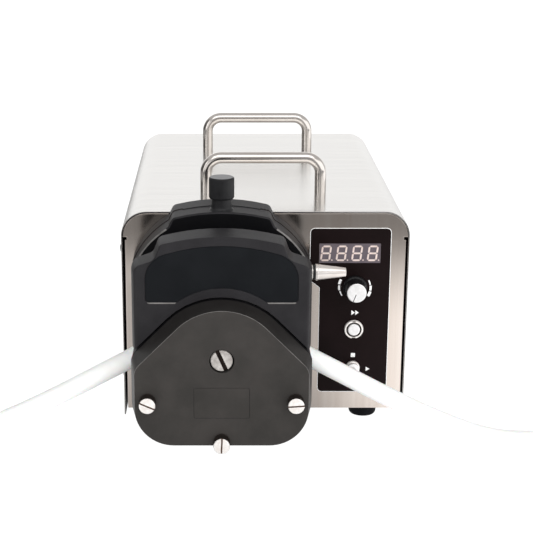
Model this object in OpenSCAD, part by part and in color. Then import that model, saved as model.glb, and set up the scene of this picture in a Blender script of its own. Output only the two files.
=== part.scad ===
// Bench peristaltic pump: a stainless drive case with a roller pump head on its front panel.
// X runs across the case, Y runs from the front to the back, Z is up from the table.
// The modules are drawn with the front panel's outer face at Y = 0 and the case centred on X = 0.
// place() then moves everything so that the origin is under the middle of the whole object.

/* [Case] */
// Width inside the side walls of the cover
case_w = 238; // [230:1:250]
// Height of the front panel
case_h = 173; // [170:1:180]
// Length of the case from front panel to rear panel
case_l = 345; // [340:5:400]
// Radius of the case's top corners
case_r = 20; // [12:1:24]
// Sheet thickness of the cover and the base
sheet = 1.2; // [1:0.1:1.4]
// How far the cover's side walls hang below the base
skirt = 6; // [3:0.5:8]

/* [Feet] */
// Height of each rubber foot
foot_h = 12; // [10:0.5:14]
// Diameter of each rubber foot
foot_d = 26; // [22:1:30]

/* [Handles] */
// Distance between the two legs of a carrying handle
handle_pitch = 100; // [90:5:120]
// Diameter of the handle rod
handle_d = 10; // [8:1:12]
// Height of the handle above the cover
handle_h = 35.5; // [32:0.5:45]
// Distance of the front handle behind the front panel
handle_front_y = 72; // [60:2:90]
// Distance of the rear handle behind the front panel
handle_rear_y = 270; // [240:5:280]

/* [Pump head] */
// Sideways offset of the head from the middle of the case
head_x = -36.5; // [-40:0.5:-34]
// Height of the drive shaft above the table
shaft_z = 100; // [99:0.5:101]
// Diameter of the drive shaft
shaft_d = 17; // [16:0.5:17]
// Distance that the upper block lifts to open the tube path
lift_travel = 22; // [15:1:24]
// Distance that the locking plunger pulls out
pull_travel = 6; // [3:0.5:6]

/* [Rotor] */
// Diameter of each roller
roller_d = 22; // [20:0.5:22]
// Distance of the roller axles from the shaft axis
roller_orbit = 24; // [23.5:0.1:24]

/* [Tube] */
// Outer diameter of the silicone tube
tube_d = 16.2; // [15.8:0.1:16.4]
// Bore of the silicone tube
tube_bore = 9.6; // [8:0.2:10]
// Thickness of the tube where the rollers squeeze it flat
squeezed = 5.4; // [5:0.1:5.4]
// Width of the tube where the rollers squeeze it flat
squeezed_w = 22; // [20:0.5:22]

/* [Controls] */
// Sideways position of the column of controls
controls_x = 75.5; // [74:0.5:77]
// Height of the speed knob
knob_z = 121; // [119:0.5:122]
// Height of the fast-run push button
button_z = 84; // [82:0.5:86]
// Height of the run and direction toggle
toggle_z = 49.5; // [48:0.5:51]

/* [Hidden] */

$fn = 64;
CUT = 1;                                  // how far a cutter runs past a face
base_z = foot_h;
case_top = foot_h + case_h;
cover_top = case_top + sheet;
wall_x = case_w / 2;
panel_t = 1.5;
rear_y = case_l;

// Depths of the head's layers, in front of the panel
back_plate_y = -20;
block_gap = 0.3;
track_back_y = -48;
track_front_y = -72;
tube_y = (track_back_y + track_front_y) / 2;
block_face_y = -98;
cover_face_y = -124;
screw_head_l = 12;
screw_face_y = cover_face_y - screw_head_l;
rear_proud = 9;
origin_y = (screw_face_y + rear_y + rear_proud) / 2;

// Pump head
track_r = 41;
squeeze_r = track_r - 0.3 - squeezed / 2;
rotor_sweep = roller_orbit + roller_d / 2;
cavity_r = 36.6;
arc_end = 40;                             // angle where the flat part of the tube ends
rod_x = 54;
rod_y0 = -32;
rod_r = 5;
run_fit = 0.05;
knob_y = -33;
plunger_z = 143.6;
head_top = 195;
cover_screw_at = [[-56.5, 68.2], [56.5, 68.2], [0, 35.3]];
cover_screw_slot = [-24, 4, 88];
head_screw_at = [[-50, 60], [50, 60], [-50, 150], [50, 150]];
foot_at = [[-87, 21], [87, 21], [-87, 324], [87, 324]];
jaw_x = 57;

// Free tube, from the side of the head to its end: distance from the shaft axis, height
TUBE_ROUTE = [[72, 80], [85, 73], [98, 66], [111, 59], [124, 52], [137, 45.3], [150, 38.8],
    [163, 32.6], [176, 26.7], [189, 21.2], [201, 16.6], [213, 12.8], [224, 10.2], [235, 8.7],
    [248, 8.1], [262, 8.1]];
tube_sides = 12;
end_bore_l = 25;

// ---------- outlines ----------

function unit(v) = v / norm(v);
function flip(p) = [for (i = [len(p) - 1 : -1 : 0]) p[i]];

// One corner of an outline, [x, y, radius], turned into an arc between its neighbours a and c
function corner(a, b, c, n) =
    b[2] == 0 ? [[b[0], b[1]]] :
    let (at = [b[0], b[1]],
         u = unit([a[0], a[1]] - at),
         v = unit([c[0], c[1]] - at),
         half = acos(u * v) / 2,
         centre = at + unit(u + v) * b[2] / sin(half),
         t1 = at + u * b[2] / tan(half) - centre,
         t2 = at + v * b[2] / tan(half) - centre,
         a1 = atan2(t1[1], t1[0]),
         raw = atan2(t2[1], t2[0]) - a1,
         turn = raw > 180 ? raw - 360 : raw < -180 ? raw + 360 : raw)
    [for (i = [0 : n]) centre + b[2] * [cos(a1 + turn * i / n), sin(a1 + turn * i / n)]];

function rounded(p, n = 8) =
    [for (i = [0 : len(p) - 1])
        each corner(p[(i + len(p) - 1) % len(p)], p[i], p[(i + 1) % len(p)], n)];

// The right half of an outline, from the bottom to the top, completed with its mirror image
function both_sides(p) =
    concat(p, [for (q = flip(p)) if (q[0] > 0) [-q[0], q[1], q[2]]]);

// The bell outline of the head's lower half: half width, bottom, tip of its 45 degree slopes
function bell(hw, bottom, tip, grow = 0, tip_r = 59.6) =
    both_sides([
        [hw + grow, bottom - grow, 31 + grow],
        [hw + grow, tip + grow * sqrt(2) - hw - grow, 13 + grow],
        [0, tip + grow * sqrt(2), tip_r + grow]]);

function bell_rear(grow = 0) = rounded(bell(70.5, 27.5, 166.5, grow), 10);
function bell_face() = rounded(bell(66.8, 31.1, 160, 0, 47.8), 10);

// Front plate of the upper block: square shoulders and a raised, arched crown
function crown_plate() =
    rounded(both_sides([
        [70.5, 90, 3],
        [70.5, 166.3, 9],
        [53.3, 172.2, 7],
        [48.8, 184.4, 5.5],
        [0, 196.7, 180]]), 6);

module slab(points, y0, y1) {
    translate([0, y1, 0]) rotate([90, 0, 0]) linear_extrude(y1 - y0) polygon(points);
}

module slab_of(y0, y1) {
    translate([0, y1, 0]) rotate([90, 0, 0]) linear_extrude(y1 - y0) children();
}

module rod(r, y0, y1) {
    translate([0, y1, 0]) rotate([90, 0, 0]) cylinder(r = r, h = y1 - y0);
}

module rod_at(x, z, r, y0, y1) {
    translate([x, 0, z]) rod(r, y0, y1);
}

module rod_x_at(y, z, r, x0, x1) {
    translate([x0, y, z]) rotate([0, 90, 0]) cylinder(r = r, h = x1 - x0);
}

module box(x0, x1, y0, y1, z0, z1) {
    translate([x0, y0, z0]) cube([x1 - x0, y1 - y0, z1 - z0]);
}

module place() {
    translate([0, -origin_y, 0]) children();
}

module at_head() {
    translate([head_x, -origin_y, 0]) children();
}

// ---------- tube path ----------

function bezier(p, t) =
    pow(1 - t, 3) * p[0] + 3 * pow(1 - t, 2) * t * p[1]
    + 3 * (1 - t) * pow(t, 2) * p[2] + pow(t, 3) * p[3];
function ease(t) = t * t * (3 - 2 * t);

exit_at = TUBE_ROUTE[0];
exit_dir = unit(TUBE_ROUTE[1] - TUBE_ROUTE[0]);
arc_at = [0, shaft_z] + squeeze_r * [cos(arc_end), sin(arc_end)];
arc_dir = [sin(arc_end), -cos(arc_end)];
lead_end = exit_at - 3 * exit_dir;
LEAD = [arc_at, arc_at + 18 * arc_dir, lead_end - 17 * exit_dir, lead_end];
lead_n = 12;
arc_n = 8;

// Right half of the held stretch of tube: [x, z, thickness, width] from the top to the exit
function half_path() = concat(
    [for (i = [0 : arc_n - 1])
        let (a = 90 - (90 - arc_end) * i / arc_n)
        [squeeze_r * cos(a), shaft_z + squeeze_r * sin(a), squeezed, squeezed_w]],
    [for (i = [0 : lead_n])
        let (t = i / lead_n, p = bezier(LEAD, t), e = ease(t))
        [p[0], p[1], squeezed + (tube_d - squeezed) * e, squeezed_w + (tube_d - squeezed_w) * e]],
    [[exit_at[0], exit_at[1], tube_d, tube_d]]);

function whole_path() = concat(
    [for (p = flip(half_path())) if (p[0] > 0.01) [-p[0], p[1], p[2], p[3]]], half_path());

function heading(p, i) =
    let (a = p[max(i - 1, 0)], b = p[min(i + 1, len(p) - 1)])
    unit([b[0] - a[0], b[1] - a[1]]);
function across(p, i) = let (d = heading(p, i)) [-d[1], d[0]];

// A line beside the tube, gap beyond its surface, on the outer (side = 1) or inner (-1) side
function beside(p, side, gap, gap_at_jaws) =
    [for (i = [0 : len(p) - 1])
        let (g = abs(p[i][0]) > jaw_x ? gap_at_jaws : gap)
        [p[i][0], p[i][1]] + side * (p[i][2] / 2 + g) * across(p, i)];

// A solid tube along a path of [x, z, thickness, width], swept in the plane Y = tube_y
module swept(p, sides) {
    rings = [for (i = [0 : len(p) - 1])
        for (j = [0 : sides - 1])
            let (a = 360 * (j + 0.5) / sides, o = across(p, i) * p[i][2] / 2 * cos(a))
            [p[i][0] + o[0], tube_y + p[i][3] / 2 * sin(a), p[i][1] + o[1]]];
    walls = [for (i = [0 : len(p) - 2])
        for (j = [0 : sides - 1])
            let (k = (j + 1) % sides)
            [i * sides + j, i * sides + k, (i + 1) * sides + k, (i + 1) * sides + j]];
    first = [for (j = [sides - 1 : -1 : 0]) j];
    last = [for (j = [0 : sides - 1]) (len(p) - 1) * sides + j];
    polyhedron(rings, concat([first, last], walls), convexity = 6);
}

// ---------- case ----------

function case_outline(grow, bottom) =
    rounded([[wall_x + grow, bottom, 0], [wall_x + grow, case_top + grow, case_r + grow],
             [-wall_x - grow, case_top + grow, case_r + grow], [-wall_x - grow, bottom, 0]], 10);

handle_y = [handle_front_y, handle_rear_y];
side_screw_at = [[15, 151], [15, 40], [330, 151], [330, 40]];

module case_cover() {
    color([0.86, 0.85, 0.84]) place() difference() {
        slab(case_outline(sheet, base_z - skirt), 0, rear_y);
        slab(case_outline(0, base_z - skirt - CUT), -CUT, rear_y + CUT);
        for (x = [-1, 1] * handle_pitch / 2, y = handle_y)
            translate([x, y, case_top - CUT]) cylinder(d = 5.5, h = sheet + 2 * CUT);
        for (s = side_screw_at)
            rod_x_at(s[0], s[1], 2, -wall_x - sheet - CUT, wall_x + sheet + CUT);
    }
}

tray_x = wall_x - 2.5;
tray_flange = 15;
intake_at = [-65, 277];
intake_w = 60;
intake_l = 40;
motor_bracket_y = 60;

module base_tray() {
    color([0.8, 0.8, 0.8]) place() difference() {
        box(-tray_x, tray_x, panel_t, rear_y - panel_t, base_z, base_z + tray_flange);
        box(-tray_x + sheet, tray_x - sheet, 0, rear_y, base_z + sheet, base_z + tray_flange + CUT);
        for (f = foot_at)
            translate([f[0], f[1], base_z - CUT]) cylinder(r = 2.25, h = sheet + 2 * CUT);
        translate([intake_at[0] - intake_w / 2, intake_at[1] - intake_l / 2, base_z - CUT])
            cube([intake_w, intake_l, sheet + 2 * CUT]);
    }
}

notch_z = case_top - case_r - 0.5;
side_gap = 2;

module front_panel() {
    side = wall_x - side_gap;
    full = wall_x - 0.2;
    color([0.72, 0.69, 0.66]) place() difference() {
        slab(rounded([[-side, base_z, 0], [side, base_z, 0], [side, notch_z - 3, 0],
            [side - 1.8, notch_z - 3, 0], [side - 1.8, notch_z, 0], [full, notch_z, 0],
            [full, case_top - 0.2, case_r - 0.2], [-full, case_top - 0.2, case_r - 0.2],
            [-full, notch_z, 0], [-side + 1.8, notch_z, 0], [-side + 1.8, notch_z - 3, 0],
            [-side, notch_z - 3, 0]], 10), 0, panel_t);
        rod_at(head_x, shaft_z, 28, -CUT, panel_t + CUT);
        for (s = head_screw_at) rod_at(head_x + s[0], s[1], 3.25, -CUT, panel_t + CUT);
        box(display_x0 + 1, display_x1 - 1, -CUT, panel_t + CUT, display_z0 + 1, display_z1 - 1);
        rod_at(controls_x, knob_z, 5, -CUT, panel_t + CUT);
        rod_at(controls_x, button_z, 7.3, -CUT, panel_t + CUT);
        rod_at(controls_x, toggle_z, 5.3, -CUT, panel_t + CUT);
    }
}

fan_x = -62;
fan_z = 118;
fan_side = 60;
inlet_x = 70;
inlet_z = 48;
rocker_z = 88;
fuse_z = 122;
plug_x = 15;
plug_z = 60;

module rear_panel() {
    color([0.78, 0.77, 0.76]) place() difference() {
        slab(case_outline(-0.2, base_z), rear_y - panel_t, rear_y);
        rod_at(fan_x, fan_z, 27, rear_y - panel_t - CUT, rear_y + CUT);
        for (x = [-25, 25], z = [-25, 25])
            rod_at(fan_x + x, fan_z + z, 2.1, rear_y - panel_t - CUT, rear_y + CUT);
        box(inlet_x - 14, inlet_x + 14, rear_y - 3, rear_y + CUT, inlet_z - 10, inlet_z + 10);
        box(inlet_x - 14, inlet_x + 14, rear_y - 3, rear_y + CUT, rocker_z - 10, rocker_z + 10);
        rod_at(inlet_x, fuse_z, 6.5, rear_y - 3, rear_y + CUT);
        box(plug_x - 12, plug_x + 12, rear_y - 3, rear_y + CUT, plug_z - 6, plug_z + 6);
        for (x = [-20, 20]) rod_at(inlet_x + x, inlet_z, 1.7, rear_y - 3, rear_y + CUT);
    }
}

module feet() {
    color([0.12, 0.12, 0.13]) place() for (f = foot_at) difference() {
        translate([f[0], f[1], 0]) cylinder(r1 = foot_d / 2 - 1.2, r2 = foot_d / 2, h = foot_h);
        translate([f[0], f[1], 3]) cylinder(r = 2, h = foot_h);
        translate([f[0], f[1], -CUT]) cylinder(r = 4.5, h = 4 + CUT);
    }
}

module foot_screws() {
    color([0.7, 0.7, 0.7]) place() for (f = foot_at) translate([f[0], f[1], 0]) {
        translate([0, 0, 4]) cylinder(r = 2, h = base_z + sheet);
        translate([0, 0, 2]) cylinder(r = 4, h = 2);
        translate([0, 0, base_z + sheet]) cylinder(r = 4, h = 3, $fn = 6);
    }
}

handle_bend = 13.5;

module handle_at(y) {
    half = handle_pitch / 2;
    top = cover_top + handle_h - handle_d / 2;
    leg = top - handle_bend - cover_top;
    color([0.85, 0.85, 0.85]) place() translate([0, y, 0]) difference() {
        union() {
            for (s = [-1, 1]) {
                translate([s * half, 0, cover_top]) cylinder(d = handle_d, h = leg);
                translate([s * (half - handle_bend), 0, top - handle_bend])
                    rotate([90, 0, 0])
                        rotate([0, 0, s > 0 ? 0 : 90])
                            rotate_extrude(angle = 90)
                                translate([handle_bend, 0]) circle(d = handle_d);
            }
            rod_x_at(0, top, handle_d / 2, -half + handle_bend, half - handle_bend);
        }
        for (s = [-1, 1])
            translate([s * half, 0, cover_top - CUT]) cylinder(r = 2.5, h = 13);
    }
}

module handle_front() {
    handle_at(handle_front_y);
}

module handle_rear() {
    handle_at(handle_rear_y);
}

module handle_screws() {
    color([0.6, 0.6, 0.6]) place()
        for (x = [-1, 1] * handle_pitch / 2, y = handle_y) translate([x, y, 0]) {
            translate([0, 0, case_top - 1]) cylinder(r = 2.5, h = 12);
            translate([0, 0, case_top - 1]) cylinder(r = 6, h = 1);
            translate([0, 0, case_top - 5]) cylinder(r = 4.25, h = 4);
        }
}

module side_screws() {
    color([0.8, 0.8, 0.8]) place() for (s = side_screw_at, m = [0, 1]) mirror([m, 0, 0]) {
        rod_x_at(s[0], s[1], 2, wall_x - 6, wall_x + sheet);
        rod_x_at(s[0], s[1], 3.8, wall_x + sheet, wall_x + sheet + 0.9);
        rod_x_at(s[0], s[1], 2.8, wall_x + sheet + 0.9, wall_x + sheet + 1.8);
    }
}

// ---------- controls ----------

overlay_t = 0.4;
display_x0 = 45;
display_x1 = 96.3;
display_z0 = 142;
display_z1 = 159;

module control_overlay() {
    color([0.12, 0.08, 0.08]) place() difference() {
        slab(rounded([[45.5, 27, 4], [105, 27, 4], [105, 172.3, 4], [37.2, 172.3, 4],
            [37.2, 127, 1], [45.5, 120.5, 1]], 5), -overlay_t, 0);
        box(display_x0, display_x1, -1, 1, display_z0, display_z1);
        rod_at(controls_x, knob_z, 5.3, -1, 1);
        rod_at(controls_x, button_z, 7.3, -1, 1);
        rod_at(controls_x, toggle_z, 5.3, -1, 1);
    }
}

module display_module() {
    color([0.42, 0.38, 0.40]) place() {
        box(display_x0, display_x1, -overlay_t, 0, display_z0, display_z1);
        box(display_x0 + 1.2, display_x1 - 1.2, 0, 9, display_z0 + 1.2, display_z1 - 1.2);
        box(display_x0 - 3, display_x1 + 3, 9, 10.6, display_z0 - 6, display_z1 + 6);
    }
}

module arrow(x, z, w) {
    translate([x, z]) polygon([[-w / 2, -w * 0.55], [w / 2, 0], [-w / 2, w * 0.55]]);
}

scale_r = 13;

// One third of the speed scale: a ring sector whose width grows with the speed
module scale_mark(a0, a1, t) {
    polygon(concat(
        [for (i = [0 : 6]) scale_r * [cos(a0 + (a1 - a0) * i / 6), sin(a0 + (a1 - a0) * i / 6)]],
        [for (i = [6 : -1 : 0])
            (scale_r + t) * [cos(a0 + (a1 - a0) * i / 6), sin(a0 + (a1 - a0) * i / 6)]]));
}

module panel_symbols() {
    color([0.92, 0.92, 0.92]) place() slab_of(-overlay_t - 0.1, -overlay_t) {
        arrow(controls_x - 2.4, button_z + 14.5, 4);
        arrow(controls_x + 2.0, button_z + 14.5, 4);
        translate([controls_x - 2.1, toggle_z + 8.9]) square([4.2, 4.2]);
        arrow(controls_x + 12.8, toggle_z - 1.6, 4.4);
        mirror([1, 0]) arrow(-controls_x + 12.8, toggle_z - 1.6, 4.4);
        translate([controls_x, knob_z]) for (i = [0 : 2]) {
            scale_mark(205 - 27 * i, 181 - 27 * i, 0.7 + 0.35 * i);
            scale_mark(29 - 27 * i, 5 - 27 * i, 1.75 + 0.3 * i);
        }
    }
}

knob_face_y = -18;

module speed_knob() {
    color([0.08, 0.08, 0.09]) place() translate([controls_x, 0, knob_z]) difference() {
        union() {
            translate([0, -1, 0]) rotate([90, 0, 0]) cylinder(r1 = 10.6, r2 = 9.8, h = 3);
            translate([0, -4, 0]) rotate([90, 0, 0]) cylinder(r1 = 9.4, r2 = 8.4, h = 13);
        }
        rod(3, -13, 0);
    }
    color([0.7, 0.7, 0.7]) place() rod_at(controls_x, knob_z, 3, -13, 6);
}

module speed_knob_cap() {
    color([0.85, 0.85, 0.86]) place() translate([controls_x, 0, knob_z]) difference() {
        rod(8.1, knob_face_y, -17);
        rotate([0, 20, 0]) box(-0.35, 0.35, knob_face_y - 1, knob_face_y + 0.4, -8.2, -1.5);
    }
}

module speed_encoder() {
    color([0.5, 0.5, 0.52]) place() translate([controls_x, 0, knob_z]) difference() {
        union() {
            rod(4.8, -0.9, 4);
            rod(12, 4, 14);
        }
        rod(3 + run_fit, -2, 6.5);
    }
}

module fast_button_bezel() {
    color([0.8, 0.8, 0.8]) place() translate([controls_x, 0, button_z]) difference() {
        union() {
            rod(8.1, -3, -overlay_t);
            rod(7, -overlay_t, 14);
        }
        rod(6, -4, -2);
        rod(5.2 + run_fit, -4, 11);
    }
}

module fast_button_cap() {
    color([0.85, 0.85, 0.85]) place() rod_at(controls_x, button_z, 5.2, -3.6, 7);
}

toggle_pivot_y = 3;
toggle_pin_r = 0.8;
toggle_pin_l = 11;

module run_switch_body() {
    color([0.75, 0.75, 0.75]) place() translate([controls_x, 0, toggle_z]) difference() {
        union() {
            rod(5.9, -2.4, -overlay_t);
            rod(5, -4.4, 2);
            box(-6.5, 6.5, 2, 18, -7, 7);
        }
        rod(4, -5, 5.5);
        translate([0, toggle_pivot_y, 0])
            cylinder(r = toggle_pin_r + run_fit, h = toggle_pin_l + 0.4, center = true);
    }
}

module run_switch_lever() {
    color([0.88, 0.88, 0.88]) place() translate([controls_x, toggle_pivot_y, toggle_z]) {
        sphere(r = 2);
        cylinder(r = toggle_pin_r, h = toggle_pin_l, center = true);
        rotate([90, 0, 0]) cylinder(r1 = 1.4, r2 = 2.9, h = 17);
        translate([0, -17, 0]) sphere(r = 2.9);
    }
}

// ---------- drive inside the case ----------

gear_y0 = 66;
gear_y1 = 112;
motor_y1 = 236;
coupling_y0 = 14;
coupling_y1 = 56;
gear_shaft_r = 6;

module drive_motor() {
    color([0.3, 0.3, 0.32]) place() translate([head_x, 0, shaft_z]) {
        rod(43, gear_y1, motor_y1 - 16);
        rod(40, motor_y1 - 16, motor_y1);
        box(-14, 14, gear_y1 + 60, motor_y1 - 30, 41, 58);
    }
}

module gearbox() {
    color([0.55, 0.55, 0.56]) place() translate([head_x, 0, shaft_z]) difference() {
        box(-44, 44, gear_y0, gear_y1, -44, 44);
        rod(gear_shaft_r + run_fit, gear_y0 - CUT, gear_y0 + 30);
        for (x = [-36, 36], z = [-36, 36]) rod_at(x, z, 2.5, gear_y0 - CUT, gear_y0 + 15);
    }
}

module gearbox_shaft() {
    color([0.7, 0.7, 0.7]) place() rod_at(head_x, shaft_z, gear_shaft_r, 32, gear_y0 + 29);
}

module motor_bracket() {
    y0 = gear_y0 - 5;
    floor_z = base_z + sheet;
    color([0.6, 0.6, 0.6]) place() difference() {
        union() {
            box(head_x - 46, head_x + 46, y0, gear_y0, floor_z, shaft_z + 46);
            box(head_x - 46, head_x + 46, gear_y0, gear_y0 + 34, floor_z, floor_z + 5);
        }
        rod_at(head_x, shaft_z, 20, y0 - CUT, gear_y0 + CUT);
        for (x = [-36, 36], z = [-36, 36])
            rod_at(head_x + x, shaft_z + z, 2.5, y0 - CUT, gear_y0 + CUT);
    }
}

module motor_screws() {
    y0 = gear_y0 - 5;
    color([0.3, 0.3, 0.3]) place()
        for (x = [-36, 36], z = [-36, 36]) translate([head_x + x, 0, shaft_z + z]) {
            rod(2.5, y0, gear_y0 + 14);
            rod(4.5, y0 - 5, y0);
        }
}

module shaft_coupling() {
    color([0.65, 0.65, 0.68]) place() translate([head_x, 0, shaft_z]) difference() {
        rod(17, coupling_y0, coupling_y1);
        rod(shaft_d / 2, coupling_y0 - CUT, 30);
        rod(gear_shaft_r, 30 - CUT, coupling_y1 + CUT);
        box(-2, 2, 30, 32, 5, 20);
    }
}

module power_supply() {
    z0 = base_z + sheet + 2;
    color([0.7, 0.72, 0.74]) place() {
        box(30, 108, 175, 315, z0, z0 + 48);
        for (x = [38, 100], y = [183, 307])
            translate([x, y, base_z + sheet]) cylinder(r = 4, h = 2);
    }
}

board_z = 34;
board_at = [[26, 40], [104, 40], [26, 150], [104, 150]];

module control_board() {
    color([0.1, 0.35, 0.18]) place() difference() {
        union() {
            box(20, 110, 34, 156, board_z, board_z + 1.6);
            box(50, 84, 60, 94, board_z + 1.6, board_z + 5);
            box(30, 44, 110, 150, board_z + 1.6, board_z + 22);
            for (y = [105, 125, 145])
                translate([92, y, board_z + 1.6]) cylinder(r = 7, h = 20);
        }
        for (b = board_at) translate([b[0], b[1], board_z - CUT]) cylinder(r = 1.6, h = 4);
    }
    color([0.8, 0.7, 0.4]) place() for (b = board_at) translate([b[0], b[1], 0]) {
        translate([0, 0, base_z + sheet]) cylinder(r = 3.2, h = board_z - base_z - sheet, $fn = 6);
        translate([0, 0, board_z]) cylinder(r = 1.6, h = 1.6);
        translate([0, 0, board_z + 1.6]) cylinder(r = 2.8, h = 2);
    }
}

// ---------- rear of the case ----------

fan_depth = 25;
fan_y0 = rear_y - panel_t - fan_depth;

module fan_frame() {
    h = fan_side / 2;
    color([0.1, 0.1, 0.1]) place() translate([fan_x, 0, fan_z]) difference() {
        box(-h, h, fan_y0, rear_y - panel_t, -h, h);
        difference() {
            rod(28, fan_y0 - CUT, rear_y);
            rod(12, fan_y0 - 2 * CUT, fan_y0 + 4);
            for (a = [0, 120, 240]) rotate([0, a, 0]) box(-2, 2, fan_y0, fan_y0 + 3, 0, 29);
        }
        for (x = [-25, 25], z = [-25, 25]) rod_at(x, z, 2.1, fan_y0 - CUT, rear_y);
        rod(2 + run_fit, fan_y0 - CUT, fan_y0 + 5);
    }
}

module fan_rotor() {
    color([0.15, 0.15, 0.15]) place() translate([fan_x, 0, fan_z]) {
        rod(2, fan_y0 + 1, fan_y0 + 6);
        rod(12, fan_y0 + 5, fan_y0 + 22);
        for (i = [0 : 6])
            rotate([0, i * 360 / 7, 0]) translate([0, fan_y0 + 13, 11.5])
                rotate([0, 0, 40]) box(-9, 9, -0.7, 0.7, 0, 14.5);
    }
}

module fan_guard() {
    color([0.75, 0.75, 0.75]) place() translate([fan_x, rear_y + 1.2, fan_z]) {
        for (r = [8, 14, 20, 26])
            rotate([90, 0, 0]) rotate_extrude() translate([r, 0]) circle(r = 0.9, $fn = 16);
        for (a = [45 : 90 : 315]) rotate([0, a, 0]) difference() {
            translate([0, 0, 6]) cylinder(r = 0.9, h = 32, $fn = 16);
            rod_at(0, 35.36, 2.1, -3, 3);
        }
        for (x = [-25, 25], z = [-25, 25]) translate([x, 0, z]) difference() {
            rod(4, -0.9, 0.9);
            rod(2.1, -2, 2);
        }
    }
}

module inlet_socket() {
    y1 = rear_y + 3;
    color([0.08, 0.08, 0.08]) place() translate([inlet_x, 0, inlet_z]) difference() {
        union() {
            box(-13.6, 13.6, rear_y - 22, rear_y, -9.6, 9.6);
            slab(rounded([[-24, -11, 3], [24, -11, 3], [24, 11, 3], [-24, 11, 3]], 4), rear_y, y1);
        }
        box(-11.5, 11.5, rear_y - 15, y1 + CUT, -7.5, 7.5);
        for (x = [-20, 20]) rod_at(x, 0, 1.7, rear_y - CUT, y1 + CUT);
    }
}

module power_switch_body() {
    y1 = rear_y + 2;
    color([0.08, 0.08, 0.08]) place() translate([inlet_x, 0, rocker_z]) difference() {
        union() {
            box(-13.6, 13.6, rear_y - 20, rear_y, -9.6, 9.6);
            slab(rounded([[-16, -12, 2], [16, -12, 2], [16, 12, 2], [-16, 12, 2]], 4), rear_y, y1);
        }
        box(-11.5, 11.5, rear_y - 9, y1 + CUT, -8, 8);
        translate([0, rear_y - 2, 0])
            cylinder(r = rocker_pin_r + run_fit, h = rocker_pin_l + 0.4, center = true);
    }
}

rocker_tilt = 8;
rocker_pin_r = 1;
rocker_pin_l = 17.6;

module power_rocker() {
    color([0.6, 0.1, 0.08]) place() translate([inlet_x, rear_y - 2, rocker_z])
        rotate([0, 0, -rocker_tilt]) {
            linear_extrude(14, center = true)
                polygon(rounded([[-10.6, -2, 1], [10.6, -2, 1], [10.6, 3.4, 1],
                    [0, 2, 12], [-10.6, 3.4, 1]], 5));
            cylinder(r = rocker_pin_r, h = rocker_pin_l, center = true);
        }
}

module fuse_holder() {
    color([0.08, 0.08, 0.08]) place() translate([inlet_x, 0, fuse_z]) difference() {
        union() {
            rod(6, rear_y - 34, rear_y);
            rod(8.5, rear_y, rear_y + 3);
            rod(6.5, rear_y + 3, rear_y + rear_proud);
        }
        box(-5, 5, rear_y + 7.4, rear_y + rear_proud + CUT, -0.6, 0.6);
    }
}

module control_connector() {
    color([0.7, 0.7, 0.72]) place() translate([plug_x, 0, plug_z]) difference() {
        union() {
            box(-11.6, 11.6, rear_y - 10, rear_y, -5.6, 5.6);
            box(-19.5, 19.5, rear_y, rear_y + 1, -6.3, 6.3);
            slab(rounded([[-9, -4.4, 2], [9, -4.4, 2], [10.4, 4.4, 2], [-10.4, 4.4, 2]], 4),
                rear_y, rear_y + 6.5);
        }
        for (x = [-16.6, 16.6]) rod_at(x, 0, 1.55, rear_y - CUT, rear_y + 3);
        for (i = [0 : 7]) rod_at(-9.2 + 2.3 * i + 1.1, 1.6, 0.55, rear_y + 3, rear_y + 8);
        for (i = [0 : 6]) rod_at(-6.9 + 2.3 * i, -1.6, 0.55, rear_y + 3, rear_y + 8);
    }
}

module rear_screws() {
    color([0.75, 0.75, 0.75]) place() {
        for (x = [-25, 25], z = [-25, 25]) translate([fan_x + x, 0, fan_z + z]) {
            rod(2, fan_y0 + 4, rear_y + 2.1);
            rod(3.6, rear_y + 2.1, rear_y + 4);
        }
        for (x = [-20, 20]) translate([inlet_x + x, 0, inlet_z]) {
            rod(1.6, rear_y - 8, rear_y + 3);
            rod(3, rear_y + 3, rear_y + 4.6);
        }
    }
}

// ---------- fixed half of the pump head ----------

module shoulder_outline() {
    intersection() {
        translate([0, 118]) circle(r = 79.5, $fn = 128);
        translate([-73, 100]) square([146, 110]);
    }
    polygon(rounded(both_sides([[43.2, 150, 0], [43.2, 184.7, 2.5], [39.6, 192.2, 5],
        [0, 201.7, 155]]), 6));
}

module head_back_plate() {
    color([0.17, 0.17, 0.18]) at_head() difference() {
        slab_of(back_plate_y, 0) {
            shoulder_outline();
            polygon(rounded([[-73, 33, 30], [73, 33, 30], [73, 118, 0], [-73, 118, 0]], 10));
        }
        rod_at(0, shaft_z, 11, back_plate_y - CUT, CUT);
        rod_at(0, shaft_z, 17.5, back_plate_y - CUT, back_plate_y + 10);
        for (s = head_screw_at) rod_at(s[0], s[1], 3, -14, CUT);
    }
    color([0.17, 0.17, 0.18]) at_head() difference() {
        rod_at(0, shaft_z, 27.9, 0, panel_t);
        rod_at(0, shaft_z, 11, -CUT, panel_t + CUT);
    }
}

module head_screws() {
    color([0.3, 0.3, 0.3]) at_head() for (s = head_screw_at) translate([s[0], 0, s[1]]) {
        rod(3, -14, panel_t);
        rod(5, panel_t, panel_t + 6);
    }
}

body_back_y = back_plate_y - block_gap;
body_front_y = block_face_y + 0.3;
cavity_back_y = -36;
cavity_front_y = -84;

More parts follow.
